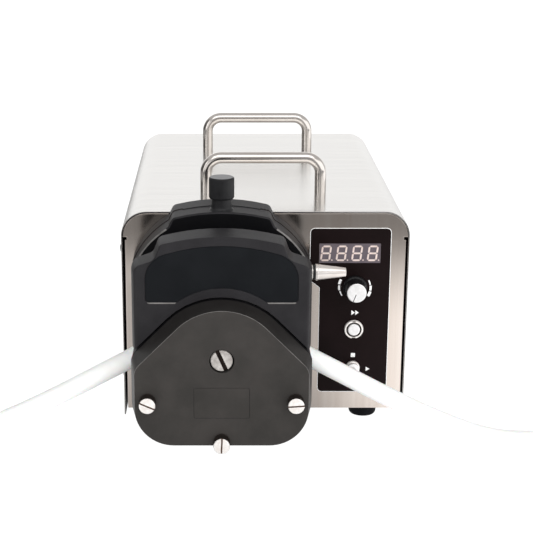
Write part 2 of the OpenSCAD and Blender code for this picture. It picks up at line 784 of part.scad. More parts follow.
module head_lower_body() {
    path = whole_path();
    inner = beside(path, -1, 0.5, 4);
    color([0.2, 0.2, 0.21]) at_head() difference() {
        slab(bell_rear(-0.4), body_front_y, body_back_y);
        rod_at(0, shaft_z, cavity_r, cavity_front_y, cavity_back_y);
        rod_at(0, shaft_z, 12, body_front_y - CUT, body_back_y + CUT);
        slab(concat([[-90, 60]], inner, [[90, 60], [90, 220], [-90, 220]]),
            track_front_y - 0.2, track_back_y + 0.2);
        for (x = [-rod_x, rod_x])
            translate([x, rod_y0, 60]) cylinder(r = rod_r, h = 100);
        for (s = cover_screw_at) rod_at(s[0], s[1], 3, body_front_y - CUT, body_front_y + 16);
    }
    color([0.2, 0.2, 0.21]) at_head() for (side = [-1, 1]) ledge(side, -1);
}

jaw_end_x = 69.5;

// The ledge along the tube at an exit: above the tube (over = 1) or under it (over = -1)
module ledge(side, over) {
    path = [for (p = half_path()) if (p[0] > jaw_x + 1) [side * p[0], p[1], p[2], p[3]]];
    out = side * over;
    intersection() {
        slab(concat(beside(path, out, 0.4, 0.4), flip(beside(path, out, 4, 4))),
            tube_y - 9, tube_y + 9);
        box(-jaw_end_x, jaw_end_x, track_front_y, track_back_y, 40, 140);
    }
}

bearing_w = 10;
bearing_r = 17.5;

module head_front_cover() {
    color([0.27, 0.26, 0.25]) at_head() difference() {
        hull() {
            slab(bell_rear(), block_face_y - 1, block_face_y);
            slab(bell_face(), cover_face_y, cover_face_y + 1);
        }
        rod_at(0, shaft_z, 9.8, cover_face_y - CUT, block_face_y + CUT);
        rod_at(0, shaft_z, bearing_r, block_face_y - bearing_w, block_face_y + CUT);
        for (s = cover_screw_at) rod_at(s[0], s[1], 3, cover_face_y - CUT, block_face_y + CUT);
    }
}

module cover_screws() {
    color([0.82, 0.82, 0.82]) at_head() for (i = [0 : 2]) {
        s = cover_screw_at[i];
        translate([s[0], 0, s[1]]) rotate([0, -cover_screw_slot[i], 0]) difference() {
            union() {
                rod(3, cover_face_y, body_front_y + 14);
                rod(6.35, screw_face_y, cover_face_y);
            }
            box(-8, 8, screw_face_y - CUT, screw_face_y + 1.5, -0.55, 0.55);
        }
    }
}

module guide_rods() {
    color([0.75, 0.75, 0.75]) at_head() for (x = [-rod_x, rod_x])
        translate([x, rod_y0, 60]) difference() {
            cylinder(r = rod_r, h = 100);
            translate([0, 0, plunger_z - 60 - 3.5]) difference() {
                cylinder(r = rod_r + 1, h = 7);
                translate([0, 0, -1]) cylinder(r = rod_r - 1.5, h = 9);
            }
        }
}

module bearing(y0, y1) {
    difference() {
        rod(bearing_r, y0, y1);
        rod(shaft_d / 2 + run_fit, y0 - CUT, y1 + CUT);
        difference() {
            rod(15, y0 - CUT, y0 + 1);
            rod(11, y0 - 2 * CUT, y0 + 2);
        }
    }
}

module shaft_bearings() {
    color([0.7, 0.72, 0.75]) at_head() translate([0, 0, shaft_z]) {
        bearing(back_plate_y, back_plate_y + bearing_w);
        bearing(block_face_y - bearing_w, block_face_y);
    }
}

// ---------- rotor ----------

shaft_end_y = cover_face_y + 1.6;
disc_r = 33;
disc_t = 7.6;
axle_r = 3;

module main_shaft() {
    color([0.8, 0.8, 0.8]) at_head() translate([0, 0, shaft_z]) difference() {
        rod(shaft_d / 2, shaft_end_y, 30);
        rotate([0, 60, 0]) box(-10, 10, shaft_end_y - CUT, shaft_end_y + 3, -1.5, 1.5);
    }
}

roller_angle = [90, 210, 330];

module at_roller(i) {
    translate([roller_orbit * cos(roller_angle[i]), 0, shaft_z + roller_orbit * sin(roller_angle[i])])
        children();
}

module rotor_discs() {
    color([0.75, 0.75, 0.77]) at_head()
        for (y = [track_back_y + 0.4, track_front_y - 0.4 - disc_t]) difference() {
            rod_at(0, shaft_z, disc_r, y, y + disc_t);
            rod_at(0, shaft_z, shaft_d / 2, y - CUT, y + disc_t + CUT);
            for (i = [0 : 2]) at_roller(i) rod(axle_r, y - CUT, y + disc_t + CUT);
        }
}

module roller_axles() {
    color([0.7, 0.7, 0.7]) at_head() for (i = [0 : 2]) at_roller(i)
        rod(axle_r, track_front_y - disc_t, track_back_y + disc_t);
}

module roller(i) {
    color([0.85, 0.85, 0.86]) at_head() at_roller(i) difference() {
        rod(roller_d / 2, track_front_y + 0.2, track_back_y - 0.2);
        rod(axle_r + run_fit, track_front_y - CUT, track_back_y + CUT);
    }
}

module roller_1() {
    roller(0);
}

module roller_2() {
    roller(1);
}

module roller_3() {
    roller(2);
}

// ---------- moving half of the pump head ----------

block_back_y = -44;
label_depth = 1;

function label_outline() =
    rounded(both_sides([[58.8, 138.5, 3], [58.8, 172.7, 20.5], [0, 188.7, 145]]), 6);

module label_shape(shrink = 0) {
    difference() {
        polygon([for (p = label_outline()) [p[0] * (1 - shrink / 58), p[1]]]);
        translate([0, 90]) circle(r = 59.7, $fn = 128);
    }
}

module upper_block() {
    path = whole_path();
    outer = beside(path, 1, 0.3, 4);
    arch = bell_rear(0.6);
    color([0.19, 0.19, 0.2]) at_head() difference() {
        union() {
            slab_of(block_back_y, body_back_y) shoulder_outline();
            slab(rounded(both_sides([[66, 80, 2], [66, 148, 10], [38, 165, 8], [34, 177, 3]]), 5),
                track_front_y - 1, block_back_y + 1);
            slab(crown_plate(), block_face_y, track_front_y);
            translate([0, knob_y, head_top - 5]) cylinder(r = 7.7, h = 16);
            translate([0, knob_y, head_top - 1]) cylinder(r1 = 10.5, r2 = 7.7, h = 5);
        }
        slab(arch, track_back_y, body_back_y + CUT);
        slab(arch, block_face_y - CUT, track_front_y);
        slab(concat([[-90, 20]], outer, [[90, 20]]), track_front_y - 0.1, track_back_y + 0.1);
        for (x = [-rod_x, rod_x])
            translate([x, rod_y0, 90]) cylinder(r = rod_r + run_fit, h = 73);
        rod_x_at(rod_y0, plunger_z, 5, rod_x, 80);
        translate([0, knob_y, 178]) cylinder(r = 4, h = 40);
        slab_of(block_face_y - CUT, block_face_y + label_depth) label_shape();
    }
    color([0.19, 0.19, 0.2]) at_head() for (side = [-1, 1]) ledge(side, 1);
}

module label_plate() {
    color([0.13, 0.14, 0.15]) at_head()
        slab_of(block_face_y + 0.3, block_face_y + label_depth) label_shape(0.3);
}

knob_bottom = 206;
knob_top = 223;

module lift_knob() {
    color([0.16, 0.16, 0.17]) at_head() translate([0, knob_y, 0]) {
        translate([0, 0, knob_bottom]) cylinder(r = 10.15, h = knob_top - knob_bottom);
        translate([0, 0, 178]) cylinder(r = 4, h = knob_bottom - 178);
    }
}

sleeve_x0 = 60;
sleeve_x1 = 74.4;
spring_cavity_r = 4.3;
pin_r = 3;

module plunger_sleeve() {
    color([0.8, 0.8, 0.8]) at_head() difference() {
        union() {
            rod_x_at(rod_y0, plunger_z, 5, sleeve_x0, 73);
            rod_x_at(rod_y0, plunger_z, 6, 73, sleeve_x1);
        }
        rod_x_at(rod_y0, plunger_z, pin_r + run_fit, sleeve_x0 - CUT, sleeve_x1 + CUT);
        rod_x_at(rod_y0, plunger_z, spring_cavity_r, sleeve_x0 - CUT, 72.4);
    }
}

spring_x0 = 69;
spring_coils = 2;

module plunger_spring() {
    color([0.7, 0.7, 0.7]) at_head() for (i = [0 : spring_coils])
        translate([spring_x0 + 0.5 + i * 1.1, rod_y0, plunger_z]) rotate([0, 90, 0])
            rotate_extrude($fn = 40) translate([3.65, 0]) circle(r = 0.5, $fn = 16);
}

collar_x = 77;
plunger_end_x = 101.5;

module plunger_pin() {
    color([0.75, 0.75, 0.75]) at_head() {
        rod_x_at(rod_y0, plunger_z, pin_r, rod_x + rod_r + 0.3, 90);
        rod_x_at(rod_y0, plunger_z, 4.1, sleeve_x0 + 0.8, sleeve_x0 + 2.4);
    }
}

module plunger_knob() {
    color([0.86, 0.86, 0.86]) at_head() translate([0, rod_y0, plunger_z]) difference() {
        union() {
            translate([collar_x, 0, 0]) rotate([0, 90, 0])
                cylinder(r1 = 6.8, r2 = 3.5, h = plunger_end_x - collar_x);
            rod_x_at(0, 0, 6.2, sleeve_x1 + 0.2, collar_x);
        }
        rod_x_at(0, 0, pin_r, sleeve_x1, 90);
    }
}

// ---------- tube ----------

module tube_middle() {
    color([0.92, 0.92, 0.9]) at_head() swept(whole_path(), 16);
}

function free_path(side) = [for (p = TUBE_ROUTE) [side * p[0], p[1], tube_d, tube_d]];

module free_tube(side) {
    end = TUBE_ROUTE[len(TUBE_ROUTE) - 1];
    path = free_path(side);
    color([0.92, 0.92, 0.9]) at_head() difference() {
        swept(side > 0 ? path : flip(path), tube_sides);
        rod_x_at(tube_y, end[1], tube_bore / 2,
            side > 0 ? end[0] - end_bore_l : -end[0] - CUT,
            side > 0 ? end[0] + CUT : -end[0] + end_bore_l);
    }
}

module tube_left() {
    free_tube(-1);
}

module tube_right() {
    free_tube(1);
}

case_cover();
base_tray();
front_panel();
rear_panel();
feet();
foot_screws();
handle_front();
handle_rear();
handle_screws();
side_screws();
control_overlay();
display_module();
panel_symbols();
speed_knob();
speed_knob_cap();
speed_encoder();
fast_button_bezel();
fast_button_cap();
run_switch_body();
run_switch_lever();
drive_motor();
gearbox();
gearbox_shaft();
motor_bracket();
motor_screws();
shaft_coupling();
power_supply();
control_board();
fan_frame();
fan_rotor();
fan_guard();
inlet_socket();
power_switch_body();
power_rocker();
fuse_holder();
control_connector();
rear_screws();
head_back_plate();
head_lower_body();
head_front_cover();
cover_screws();
head_screws();
guide_rods();
shaft_bearings();
main_shaft();
rotor_discs();
roller_axles();
roller_1();
roller_2();
roller_3();
upper_block();
label_plate();
lift_knob();
plunger_sleeve();
plunger_spring();
plunger_pin();
plunger_knob();
tube_middle();
tube_left();
tube_right();
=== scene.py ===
# Looks of a bench peristaltic pump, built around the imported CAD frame.
# Lengths in this file are millimetres in the row frame; make() turns them into metres.
import math

import bmesh
import bpy
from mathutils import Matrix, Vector


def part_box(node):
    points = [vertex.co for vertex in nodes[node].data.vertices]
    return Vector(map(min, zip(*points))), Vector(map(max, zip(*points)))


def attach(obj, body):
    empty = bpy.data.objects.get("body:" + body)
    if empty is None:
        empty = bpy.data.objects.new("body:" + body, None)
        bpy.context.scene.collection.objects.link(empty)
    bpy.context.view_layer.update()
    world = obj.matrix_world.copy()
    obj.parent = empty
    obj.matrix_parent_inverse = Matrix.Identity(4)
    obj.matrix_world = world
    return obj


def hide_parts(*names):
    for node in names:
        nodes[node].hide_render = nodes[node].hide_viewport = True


MM = 0.001
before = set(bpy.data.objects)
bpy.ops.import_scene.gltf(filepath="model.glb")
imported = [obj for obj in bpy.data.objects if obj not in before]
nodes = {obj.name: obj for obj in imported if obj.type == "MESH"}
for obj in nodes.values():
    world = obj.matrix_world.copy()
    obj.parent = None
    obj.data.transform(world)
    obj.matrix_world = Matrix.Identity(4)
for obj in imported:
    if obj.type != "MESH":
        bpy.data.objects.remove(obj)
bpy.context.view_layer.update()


def cad(node):
    """Lowest and highest corner of a CAD node, in millimetres."""
    low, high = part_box(node)
    return low / MM, high / MM


def middle(node):
    low, high = cad(node)
    return (low + high) / 2


# ----- places taken from the frame -----

SHEET = 1.2
HEAD_X = middle("main_shaft").x
SHAFT_Z = middle("main_shaft").z
PANEL_Y = cad("front_panel")[0].y
REAR_Y = cad("case_cover")[1].y
WALL_X = cad("case_cover")[1].x - SHEET
CASE_TOP = cad("case_cover")[1].z - SHEET
BASE_Z = cad("front_panel")[0].z
SKIRT_Z = cad("case_cover")[0].z
CASE_R = 20
COVER_FACE_Y = cad("head_front_cover")[0].y - PANEL_Y
BLOCK_FACE_Y = cad("upper_block")[0].y - PANEL_Y
KNOB = middle("speed_knob_cap")
BUTTON = middle("fast_button_cap")
TOGGLE = middle("run_switch_body")


# ----- camera -----


def show(obj):
    bpy.context.scene.collection.objects.link(obj)


def make_camera():
    data = bpy.data.cameras.new("camera")
    data.sensor_width = 36
    data.lens = 92.515
    data.shift_x = 0.08756
    data.clip_start = 0.01
    camera = bpy.data.objects.new("camera", data)
    camera.location = (-0.03791, -1.20925, 0.46027)
    camera.rotation_euler = (math.radians(90 - 16.28), 0, 0)
    show(camera)
    bpy.context.scene.camera = camera


# ----- outlines -----


def circle_points(centre, r, angles):
    return [(centre[0] + r * math.cos(a), centre[1] + r * math.sin(a)) for a in angles]


def corner_arc(before, corner, after, steps):
    """Points of one outline corner (x, z, radius), as an arc between its neighbours."""
    if len(corner) < 3 or corner[2] <= 0:
        return [(corner[0], corner[1])]
    at = Vector(corner[:2])
    u = (Vector(before[:2]) - at).normalized()
    v = (Vector(after[:2]) - at).normalized()
    half = math.acos(max(-1, min(1, u.dot(v)))) / 2
    centre = at + (u + v).normalized() * corner[2] / math.sin(half)
    start = at + u * corner[2] / math.tan(half) - centre
    end = at + v * corner[2] / math.tan(half) - centre
    first = math.atan2(start.y, start.x)
    turn = (math.atan2(end.y, end.x) - first + math.pi) % (2 * math.pi) - math.pi
    angles = [first + turn * i / steps for i in range(steps + 1)]
    return circle_points(centre, corner[2], angles)


def rounded(corners, steps=8):
    """A closed outline with its corners turned into arcs."""
    count = len(corners)
    points = []
    for i, corner in enumerate(corners):
        points += corner_arc(corners[i - 1], corner, corners[(i + 1) % count], steps)
    return points


def rounded_path(corners, steps=8):
    """An open line whose inner corners are arcs."""
    points = [tuple(corners[0][:2])]
    for i in range(1, len(corners) - 1):
        points += corner_arc(corners[i - 1], corners[i], corners[i + 1], steps)
    return points + [tuple(corners[-1][:2])]


def both_sides(corners):
    """The right half of an outline, from the bottom to the top, with its mirror image."""
    return corners + [(-x, z, r) for x, z, r in reversed(corners) if x > 0]


def inset(corners, distance):
    """Moves every edge of an anticlockwise outline inwards. A list gives one distance per edge."""
    count = len(corners)
    shift = distance if isinstance(distance, list) else [distance] * count
    moved = []
    for i, (x, z, r) in enumerate(corners):
        at = Vector((x, z))
        a = (at - Vector(corners[i - 1][:2])).normalized()
        b = (Vector(corners[(i + 1) % count][:2]) - at).normalized()
        d_in, d_out = shift[i - 1], shift[i]
        side_a, side_b = Vector((-a.y, a.x)), Vector((-b.y, b.x))
        cross = a.x * b.y - a.y * b.x
        # Where the two shifted edges meet
        gap = side_b * d_out - side_a * d_in
        step = (gap.x * b.y - gap.y * b.x) / cross
        place = at + side_a * d_in + a * step
        change = (d_in + d_out) / 2
        radius = 0 if r == 0 else max(r - change if cross > 0 else r + change, 0.05)
        moved.append((place.x, place.y, radius))
    return moved


def rectangle(x0, x1, z0, z1, r):
    return [(x1, z0, r), (x1, z1, r), (x0, z1, r), (x0, z0, r)]


def circle(x, z, r, steps=48):
    return circle_points((x, z), r, [2 * math.pi * i / steps for i in range(steps)])


# ----- meshes -----


def keep_flats(obj):
    weighted = obj.modifiers.new("flat_faces", "WEIGHTED_NORMAL")
    weighted.keep_sharp = True


def shade(obj, angle=35):
    """Smooth shading with sharp edges above the angle, and flats that stay flat."""
    mesh = obj.data
    mesh.shade_smooth()
    mesh.set_sharp_from_angle(angle=math.radians(angle))
    keep_flats(obj)
    return obj


def make(name, verts, faces, materials, origin=(0, 0, 0), slots=None, angle=35):
    """A mesh object from points in millimetres. Materials are names or another object's own."""
    base = Vector(origin)
    mesh = bpy.data.meshes.new(name)
    mesh.from_pydata([(Vector(v) - base) * MM for v in verts], [], faces)
    for material in materials:
        mesh.materials.append(M[material] if isinstance(material, str) else material)
    if slots:
        for polygon, slot in zip(mesh.polygons, slots):
            polygon.material_index = slot
    soup = bmesh.new()
    soup.from_mesh(mesh)
    bmesh.ops.remove_doubles(soup, verts=soup.verts, dist=0.002 * MM)
    bmesh.ops.recalc_face_normals(soup, faces=soup.faces)
    soup.to_mesh(mesh)
    soup.free()
    obj = bpy.data.objects.new(name, mesh)
    obj.location = base * MM
    show(obj)
    return shade(obj, angle)


def paint(obj, slot, wanted=None):
    """Gives a material slot to every face, or where wanted(centre, normal) is true."""
    for polygon in obj.data.polygons:
        if wanted is None or wanted(polygon.center / MM, polygon.normal):
            polygon.material_index = slot
    return obj


def headings(line):
    """Each point of an open line with the unit vector along the line there."""
    last = len(line) - 1
    for i, point in enumerate(line):
        before, after = line[max(i - 1, 0)], line[min(i + 1, last)]
        yield point, Vector((after[0] - before[0], after[1] - before[1])).normalized()


def skin(rings, closed_ends=True, slot_of=None):
    """Faces between rings of equal point counts: points, faces and a slot for each face."""
    count = len(rings[0])
    verts = [p for ring in rings for p in ring]
    faces, slots = [], []
    for i in range(len(rings) - 1):
        for j in range(count):
            k = (j + 1) % count
            here, there = i * count, (i + 1) * count
            faces.append((here + j, here + k, there + k, there + j))
            slots.append((slot_of or {}).get(i, 0))
    if closed_ends:
        last = (len(rings) - 1) * count
        faces.append(tuple(range(count)))
        faces.append(tuple(last + j for j in range(count)))
        slots += [0, 0]
    return verts, faces, slots


def loft(name, rings, materials, origin=(0, 0, 0), slot_of=None, angle=35):
    verts, faces, slots = skin(rings, True, slot_of)
    return make(name, verts, faces, materials, origin, slots, angle)


def at_panel(points, y, x=0.0):
    """An outline placed at a distance y from the panel's outer face."""
    return [(px + x, PANEL_Y + y, pz) for px, pz in points]


def at_head(points, y):
    return at_panel(points, y, HEAD_X)


def turned(name, profile, axis, at, materials, steps=96, teeth=0, tooth=0.0):
    """A turned part. profile is a list of (radius, distance along the axis, toothed or not)."""
    rings = []
    for point in profile:
        radius, along = point[0], point[1]
        cut = tooth if len(point) > 2 and point[2] else 0.0
        ring = []
        for i in range(steps):
            a = 2 * math.pi * i / steps
            r = radius - cut * (0.5 - 0.5 * math.cos(teeth * a))
            ring.append((along, r * math.cos(a), r * math.sin(a)))
        rings.append(ring)
    order = {"x": (0, 1, 2), "y": (1, 0, 2), "z": (2, 1, 0)}[axis]
    placed = [[Vector([p[i] for i in order]) + Vector(at) for p in ring] for ring in rings]
    return loft(name, placed, materials, at)


def cut_dark(obj, line, y0, y1):
    """Cuts an outline out of obj between two depths. The walls get its second material, a painted
    shade.
    """
    cutter = loft("cut", [at_panel(line, y) for y in (y0, y1)], list(obj.data.materials))
    combine(obj, [paint(cutter, 1)])


def lathe(corners, steps=4):
    """A turned profile whose corners (radius, along, fillet) are arcs."""
    return rounded_path(corners, steps)


def evaluated(obj):
    graph = bpy.context.evaluated_depsgraph_get()
    return bpy.data.meshes.new_from_object(obj.evaluated_get(graph))


def apply_modifiers(obj):
    mesh = evaluated(obj)
    obj.modifiers.clear()
    obj.data = mesh


def combine(obj, others, operation="DIFFERENCE"):
    """Cuts other objects out of obj, or joins them to it, and removes them."""
    obj.modifiers.clear()
    for other in others:
        other.modifiers.clear()
        step = obj.modifiers.new("combine", "BOOLEAN")
        step.operation = operation
        step.solver = "EXACT"
        step.object = other
    bpy.context.view_layer.update()
    apply_modifiers(obj)
    for other in others:
        bpy.data.objects.remove(other)
    shade(obj)


def plate(name, outlines, y0, y1, edge, materials, steps=2):
    """A flat plate with holes and rounded edges: the first outline is its rim."""
    curve = bpy.data.curves.new(name, "CURVE")
    curve.dimensions = "2D"
    curve.fill_mode = "BOTH"
    for outline in outlines:
        spline = curve.splines.new("POLY")
        spline.points.add(len(outline) - 1)
        for point, (x, z) in zip(spline.points, outline):
            point.co = (x * MM, z * MM, 0, 1)
        spline.use_cyclic_u = True
    curve.extrude = ((y1 - y0) / 2 - edge) * MM
    curve.bevel_depth = edge * MM
    curve.bevel_resolution = steps
    curve.offset = -edge * MM
    drawn = bpy.data.objects.new(name + "_outline", curve)
    show(drawn)
    mesh = evaluated(drawn)
    bpy.data.objects.remove(drawn)
    half = (y0 + y1) / 2 + PANEL_Y
    verts = [(v.co.x / MM, half - v.co.z / MM, v.co.y / MM) for v in mesh.vertices]
    faces = [tuple(p.vertices) for p in mesh.polygons]
    return make(name, verts, faces, materials)


def piece(obj, slot, *replaced, body="chassis"):
    """Puts a piece on its body and hides the CAD nodes that it stands for. slot is not used."""
    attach(obj, body)
    if replaced:
        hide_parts(*replaced)
    return obj


# ----- materials -----


def tone(code):
    """An sRGB colour code as the linear colour that the shaders use."""
    channels = [int(code[i : i + 2], 16) / 255 for i in (0, 2, 4)]
    return tuple(c / 12.92 if c <= 0.04045 else ((c + 0.055) / 1.055) ** 2.4 for c in channels)


def add(tree, kind, inputs=None, **properties):
    made = tree.nodes.new(kind)
    for key, value in properties.items():
        setattr(made, key, value)
    for key, value in (inputs or {}).items():
        if isinstance(value, bpy.types.NodeSocket):
            tree.links.new(value, made.inputs[key])
        else:
            made.inputs[key].default_value = value
    return made


def noise(tree, cycles, detail=4.0, shift=0.0):
    """Noise with a number of cycles per metre, the same or one for each axis."""
    place = add(tree, "ShaderNodeTexCoord").outputs["Object"]
    scale = cycles if isinstance(cycles, tuple) else (cycles,) * 3
    mapping = {"Vector": place, "Scale": scale, "Location": (shift,) * 3}
    scaled = add(tree, "ShaderNodeMapping", mapping).outputs["Vector"]
    values = {"Vector": scaled, "Scale": 1.0, "Detail": detail, "Roughness": 0.6}
    return add(tree, "ShaderNodeTexNoise", values).outputs["Fac"]


def ramp(tree, factor, low, high):
    made = add(tree, "ShaderNodeValToRGB", {"Fac": factor})
    for element, place, colour in zip(made.color_ramp.elements, (0.35, 0.65), (low, high)):
        element.position = place
        element.color = (*colour, 1.0)
    return made.outputs["Color"]


def spread(tree, factor, low, high):
    values = {"Value": factor, "From Min": 0.3, "From Max": 0.7, "To Min": low, "To Max": high}
    return add(tree, "ShaderNodeMapRange", values).outputs["Result"]


M = {}


def surface(name, low, high, rough, patch=300, grain=2500, bump=0.05, depth=0.01, tangent=None,
            shine=0.5, **sockets):
    """A finish whose colour drifts in patches and whose fine grain sets roughness and bump."""
    material = bpy.data.materials.new(name)
    material.use_nodes = True
    tree = material.node_tree
    bsdf = tree.nodes["Principled BSDF"]
    patches = noise(tree, patch)
    fine = noise(tree, grain, 3.0, 4.7)
    link = tree.links.new
    link(ramp(tree, patches, tone(low), tone(high)), bsdf.inputs["Base Color"])
    link(spread(tree, fine, *rough), bsdf.inputs["Roughness"])
    height = {"Strength": bump, "Distance": depth * MM, "Height": fine}
    relief = add(tree, "ShaderNodeBump", height)
    link(relief.outputs["Normal"], bsdf.inputs["Normal"])
    if tangent:
        turned_way = add(tree, "ShaderNodeTangent", direction_type="RADIAL", axis=tangent)
        link(turned_way.outputs["Tangent"], bsdf.inputs["Tangent"])
    bsdf.inputs["Specular IOR Level"].default_value = shine
    for key, value in sockets.items():
        bsdf.inputs[key.replace("_", " ")].default_value = value
    M[name] = material


ACROSS = (6, 1400, 1400)
UPRIGHT = (1400, 1400, 6)
surface("case_steel", "dfddda", "e3e1de", (0.19, 0.22), (3, 120, 120), ACROSS, 0.006, 0.01, "Y",
        Metallic=1.0, Anisotropic=0.8, Anisotropic_Rotation=0.25)
surface("panel_steel", "d2c6bd", "dbd1c9", (0.1, 0.14), (120, 120, 3), UPRIGHT, 0.01, 0.01, "Z",
        Metallic=1.0, Anisotropic=0.6, Anisotropic_Rotation=0.0)
# Painted highlight: a lighter copy of the case steel for the rims of the sheet
surface("sheet_edge_painted_highlight", "e8e4e0", "f6f4f2", (0.2, 0.3), 25, 1500, 0.15, 0.03, Metallic=1.0)
surface("handle_steel", "e4dcd5", "efe9e4", (0.13, 0.16), 12, 60, 0.0, 0.01, Metallic=1.0)
surface("bright_steel", "eeeae6", "fbf9f6", (0.3, 0.42), 200, Metallic=0.85)
surface("screw_face", "f0e9e4", "fdfaf7", (0.34, 0.46), Metallic=0.3)
surface("knob_silver", "eeedec", "fcfbfb", (0.3, 0.44), Metallic=0.5)
surface("plunger_steel", "ded6d0", "eee8e4", (0.16, 0.22), (60, 300, 300), (2600, 200, 200), 0.02,
        0.01, "X", Metallic=0.65, Anisotropic=0.4)
surface("shaft_steel", "b9b4ae", "d8d4cf", (0.2, 0.34), Metallic=1.0)
surface("shaft_face", "aca5a0", "ddd8d3", (0.26, 0.4), 160, Metallic=0.5)
# Painted shade: dark brown for slot and groove walls, gaps and the inner side of the case
surface("painted_shade_dark", "1d1512", "2c221d", (0.5, 0.6), shine=0.2)
# Painted shade: brown for the walls of the cover screws' slots
surface("painted_shade_brown", "5a4338", "6e5549", (0.5, 0.6), shine=0.2)
# Painted shade: dark steel for the knurled sides of the thumb screws
surface("knurl_steel_painted_shade", "3b3330", "4d4440", (0.34, 0.44), Metallic=0.8)
surface("zinc_steel", "a9abab", "c9cbc9", (0.3, 0.45), 90, 1600, 0.1, 0.02, Metallic=1.0)
surface("wire_steel", "b4b4b2", "d2d2d0", (0.22, 0.34), 60, 1600, 0.05, 0.01, Metallic=1.0)
surface("cast_alloy", "8b8d90", "a8aaad", (0.45, 0.6), 60, 700, 0.25, 0.06, Metallic=1.0)
surface("supply_alloy", "9fa3a6", "bcc0c2", (0.34, 0.46), (20, 200, 200), (60, 900, 900), 0.08,
        0.02, Metallic=1.0)
surface("head_black", "252426", "2d2c2e", (0.44, 0.54), 30, 1900, 0.15, 0.02, shine=0.15)
# Painted shade: a near-black copy of the head black for faces in recesses and gaps
surface("recess_painted_shade", "09090b", "0d0d0f", (0.55, 0.65), 60, 1900, 0.15, 0.02, shine=0.1)
surface("cover_grey", "343230", "3d3a38", (0.42, 0.52), 35, 1900, 0.15, 0.02, shine=0.2)
# Painted shade: a darker copy of the cover grey for its sloped sides and recess walls
surface("cover_side_painted_shade", "252322", "2d2b2a", (0.42, 0.52), 35, 1900, 0.15, 0.02, shine=0.2)
# Painted highlight: a lighter grey for thin edge lines on the head
surface("painted_edge_highlight", "5a5856", "7c7977", (0.3, 0.42), 120, 1900, 0.1, 0.02)
surface("label_black", "111316", "15171a", (0.5, 0.6), 40, 2600, 0.04, 0.01, shine=0.15)
surface("knob_black", "121214", "1b1b1d", (0.36, 0.5), 80, 2200, 0.1, 0.02, shine=0.35)
surface("overlay_black", "120909", "160c0d", (0.45, 0.52), 40, 3000, 0.02, 0.01, shine=0.1)
surface("display_grey", "5c545a", "675e64", (0.35, 0.45), 60, 2600, 0.02, 0.01, shine=0.2)
surface("segment_pink", "d6c2ba", "e2d1ca", (0.4, 0.5), 300, 3000, 0.03, 0.01)
surface("print_white", "f8f8f7", "ffffff", (0.5, 0.6), 200, 3000, 0.05, 0.01)
surface("foot_rubber", "070709", "0d0d11", (0.6, 0.75), 120, 1500, 0.3, 0.05, shine=0.1)
# Painted highlight: a lighter grey for the lift knob's top face
surface("knob_top", "505053", "5b5b5e", (0.3, 0.4), 150, 2200, 0.05, 0.01)
surface("black_plastic", "151517", "202022", (0.38, 0.52), 60, 1200, 0.2, 0.04)
surface("motor_paint", "2b2c30", "393a3f", (0.42, 0.55), 40, 900, 0.25, 0.05)
surface("board_green", "0f3f22", "1c5a34", (0.35, 0.5), 150, 1400, 0.15, 0.03)
surface("rocker_red", "8c1512", "a51d18", (0.25, 0.35), 80, 1800, 0.06, 0.02)
surface("silicone", "f4f5f3", "fbfbfa", (0.28, 0.36), 40, 500, 0.03, 0.02, Subsurface_Weight=0.12,
        Subsurface_Scale=0.003, shine=0.3)


# ----- tube -----

TUBE_D = cad("tube_left")[1].y - cad("tube_left")[0].y
TUBE_BORE = 9.6
TUBE_Y = middle("tube_left").y
SQUEEZED = 5.4
SQUEEZED_W = 22
TRACK_R = 41
ARC_END = math.radians(40)
# Free tube, from the side of the head to its end: distance from the shaft axis, height
TUBE_ROUTE = [(72, 80), (85, 73), (98, 66), (111, 59), (124, 52), (137, 45.3), (150, 38.8),
              (163, 32.6), (176, 26.7), (189, 21.2), (201, 16.6), (213, 12.8), (224, 10.2),
              (235, 8.7), (248, 8.1), (262, 8.1)]


def smooth_line(points, steps):
    """A smooth line through every point, with a number of steps between them."""
    padded = [points[0] * 2 - points[1], *points, points[-1] * 2 - points[-2]]
    line = []
    for i in range(1, len(padded) - 2):
        a, b, c, d = padded[i - 1 : i + 3]
        for k in range(steps):
            t = k / steps
            line.append(0.5 * (2 * b + (c - a) * t + (2 * a - 5 * b + 4 * c - d) * t * t
                               + (3 * b - a - 3 * c + d) * t**3))
    return line + [points[-1]]


def hollow(name, path):
    """A tube in the plane Y = TUBE_Y along points (x, z, thickness, width), with its bore."""
    sides = 48
    rings = []
    for share in (1.0, TUBE_BORE / TUBE_D):
        rows = []
        for (x, z, thick, wide), along in headings(path):
            row = []
            for j in range(sides):
                angle = 2 * math.pi * j / sides
                out = share * thick / 2 * math.cos(angle)
                row.append((x - along.y * out, TUBE_Y + share * wide / 2 * math.sin(angle),
                            z + along.x * out))
            rows.append(row)
        rings.append(rows)
    loop = rings[0] + rings[1][::-1]
    verts, faces, slots = skin(loop + [loop[0]], False)
    return make(name, verts, faces, ["silicone"], slots=slots, angle=60)


def make_free_tube(name, side):
    route = [Vector((HEAD_X + side * x, TUBE_Y, z)) for x, z in TUBE_ROUTE]
    line = smooth_line(route, 4)
    path = [(p.x, p.z, TUBE_D, TUBE_D) for p in line]
    tube = piece(hollow(name, path), "silicone",
                 "tube_left" if side < 0 else "tube_right")
    # The panel behind the hose mirrors the white table only
    tube.visible_glossy = False


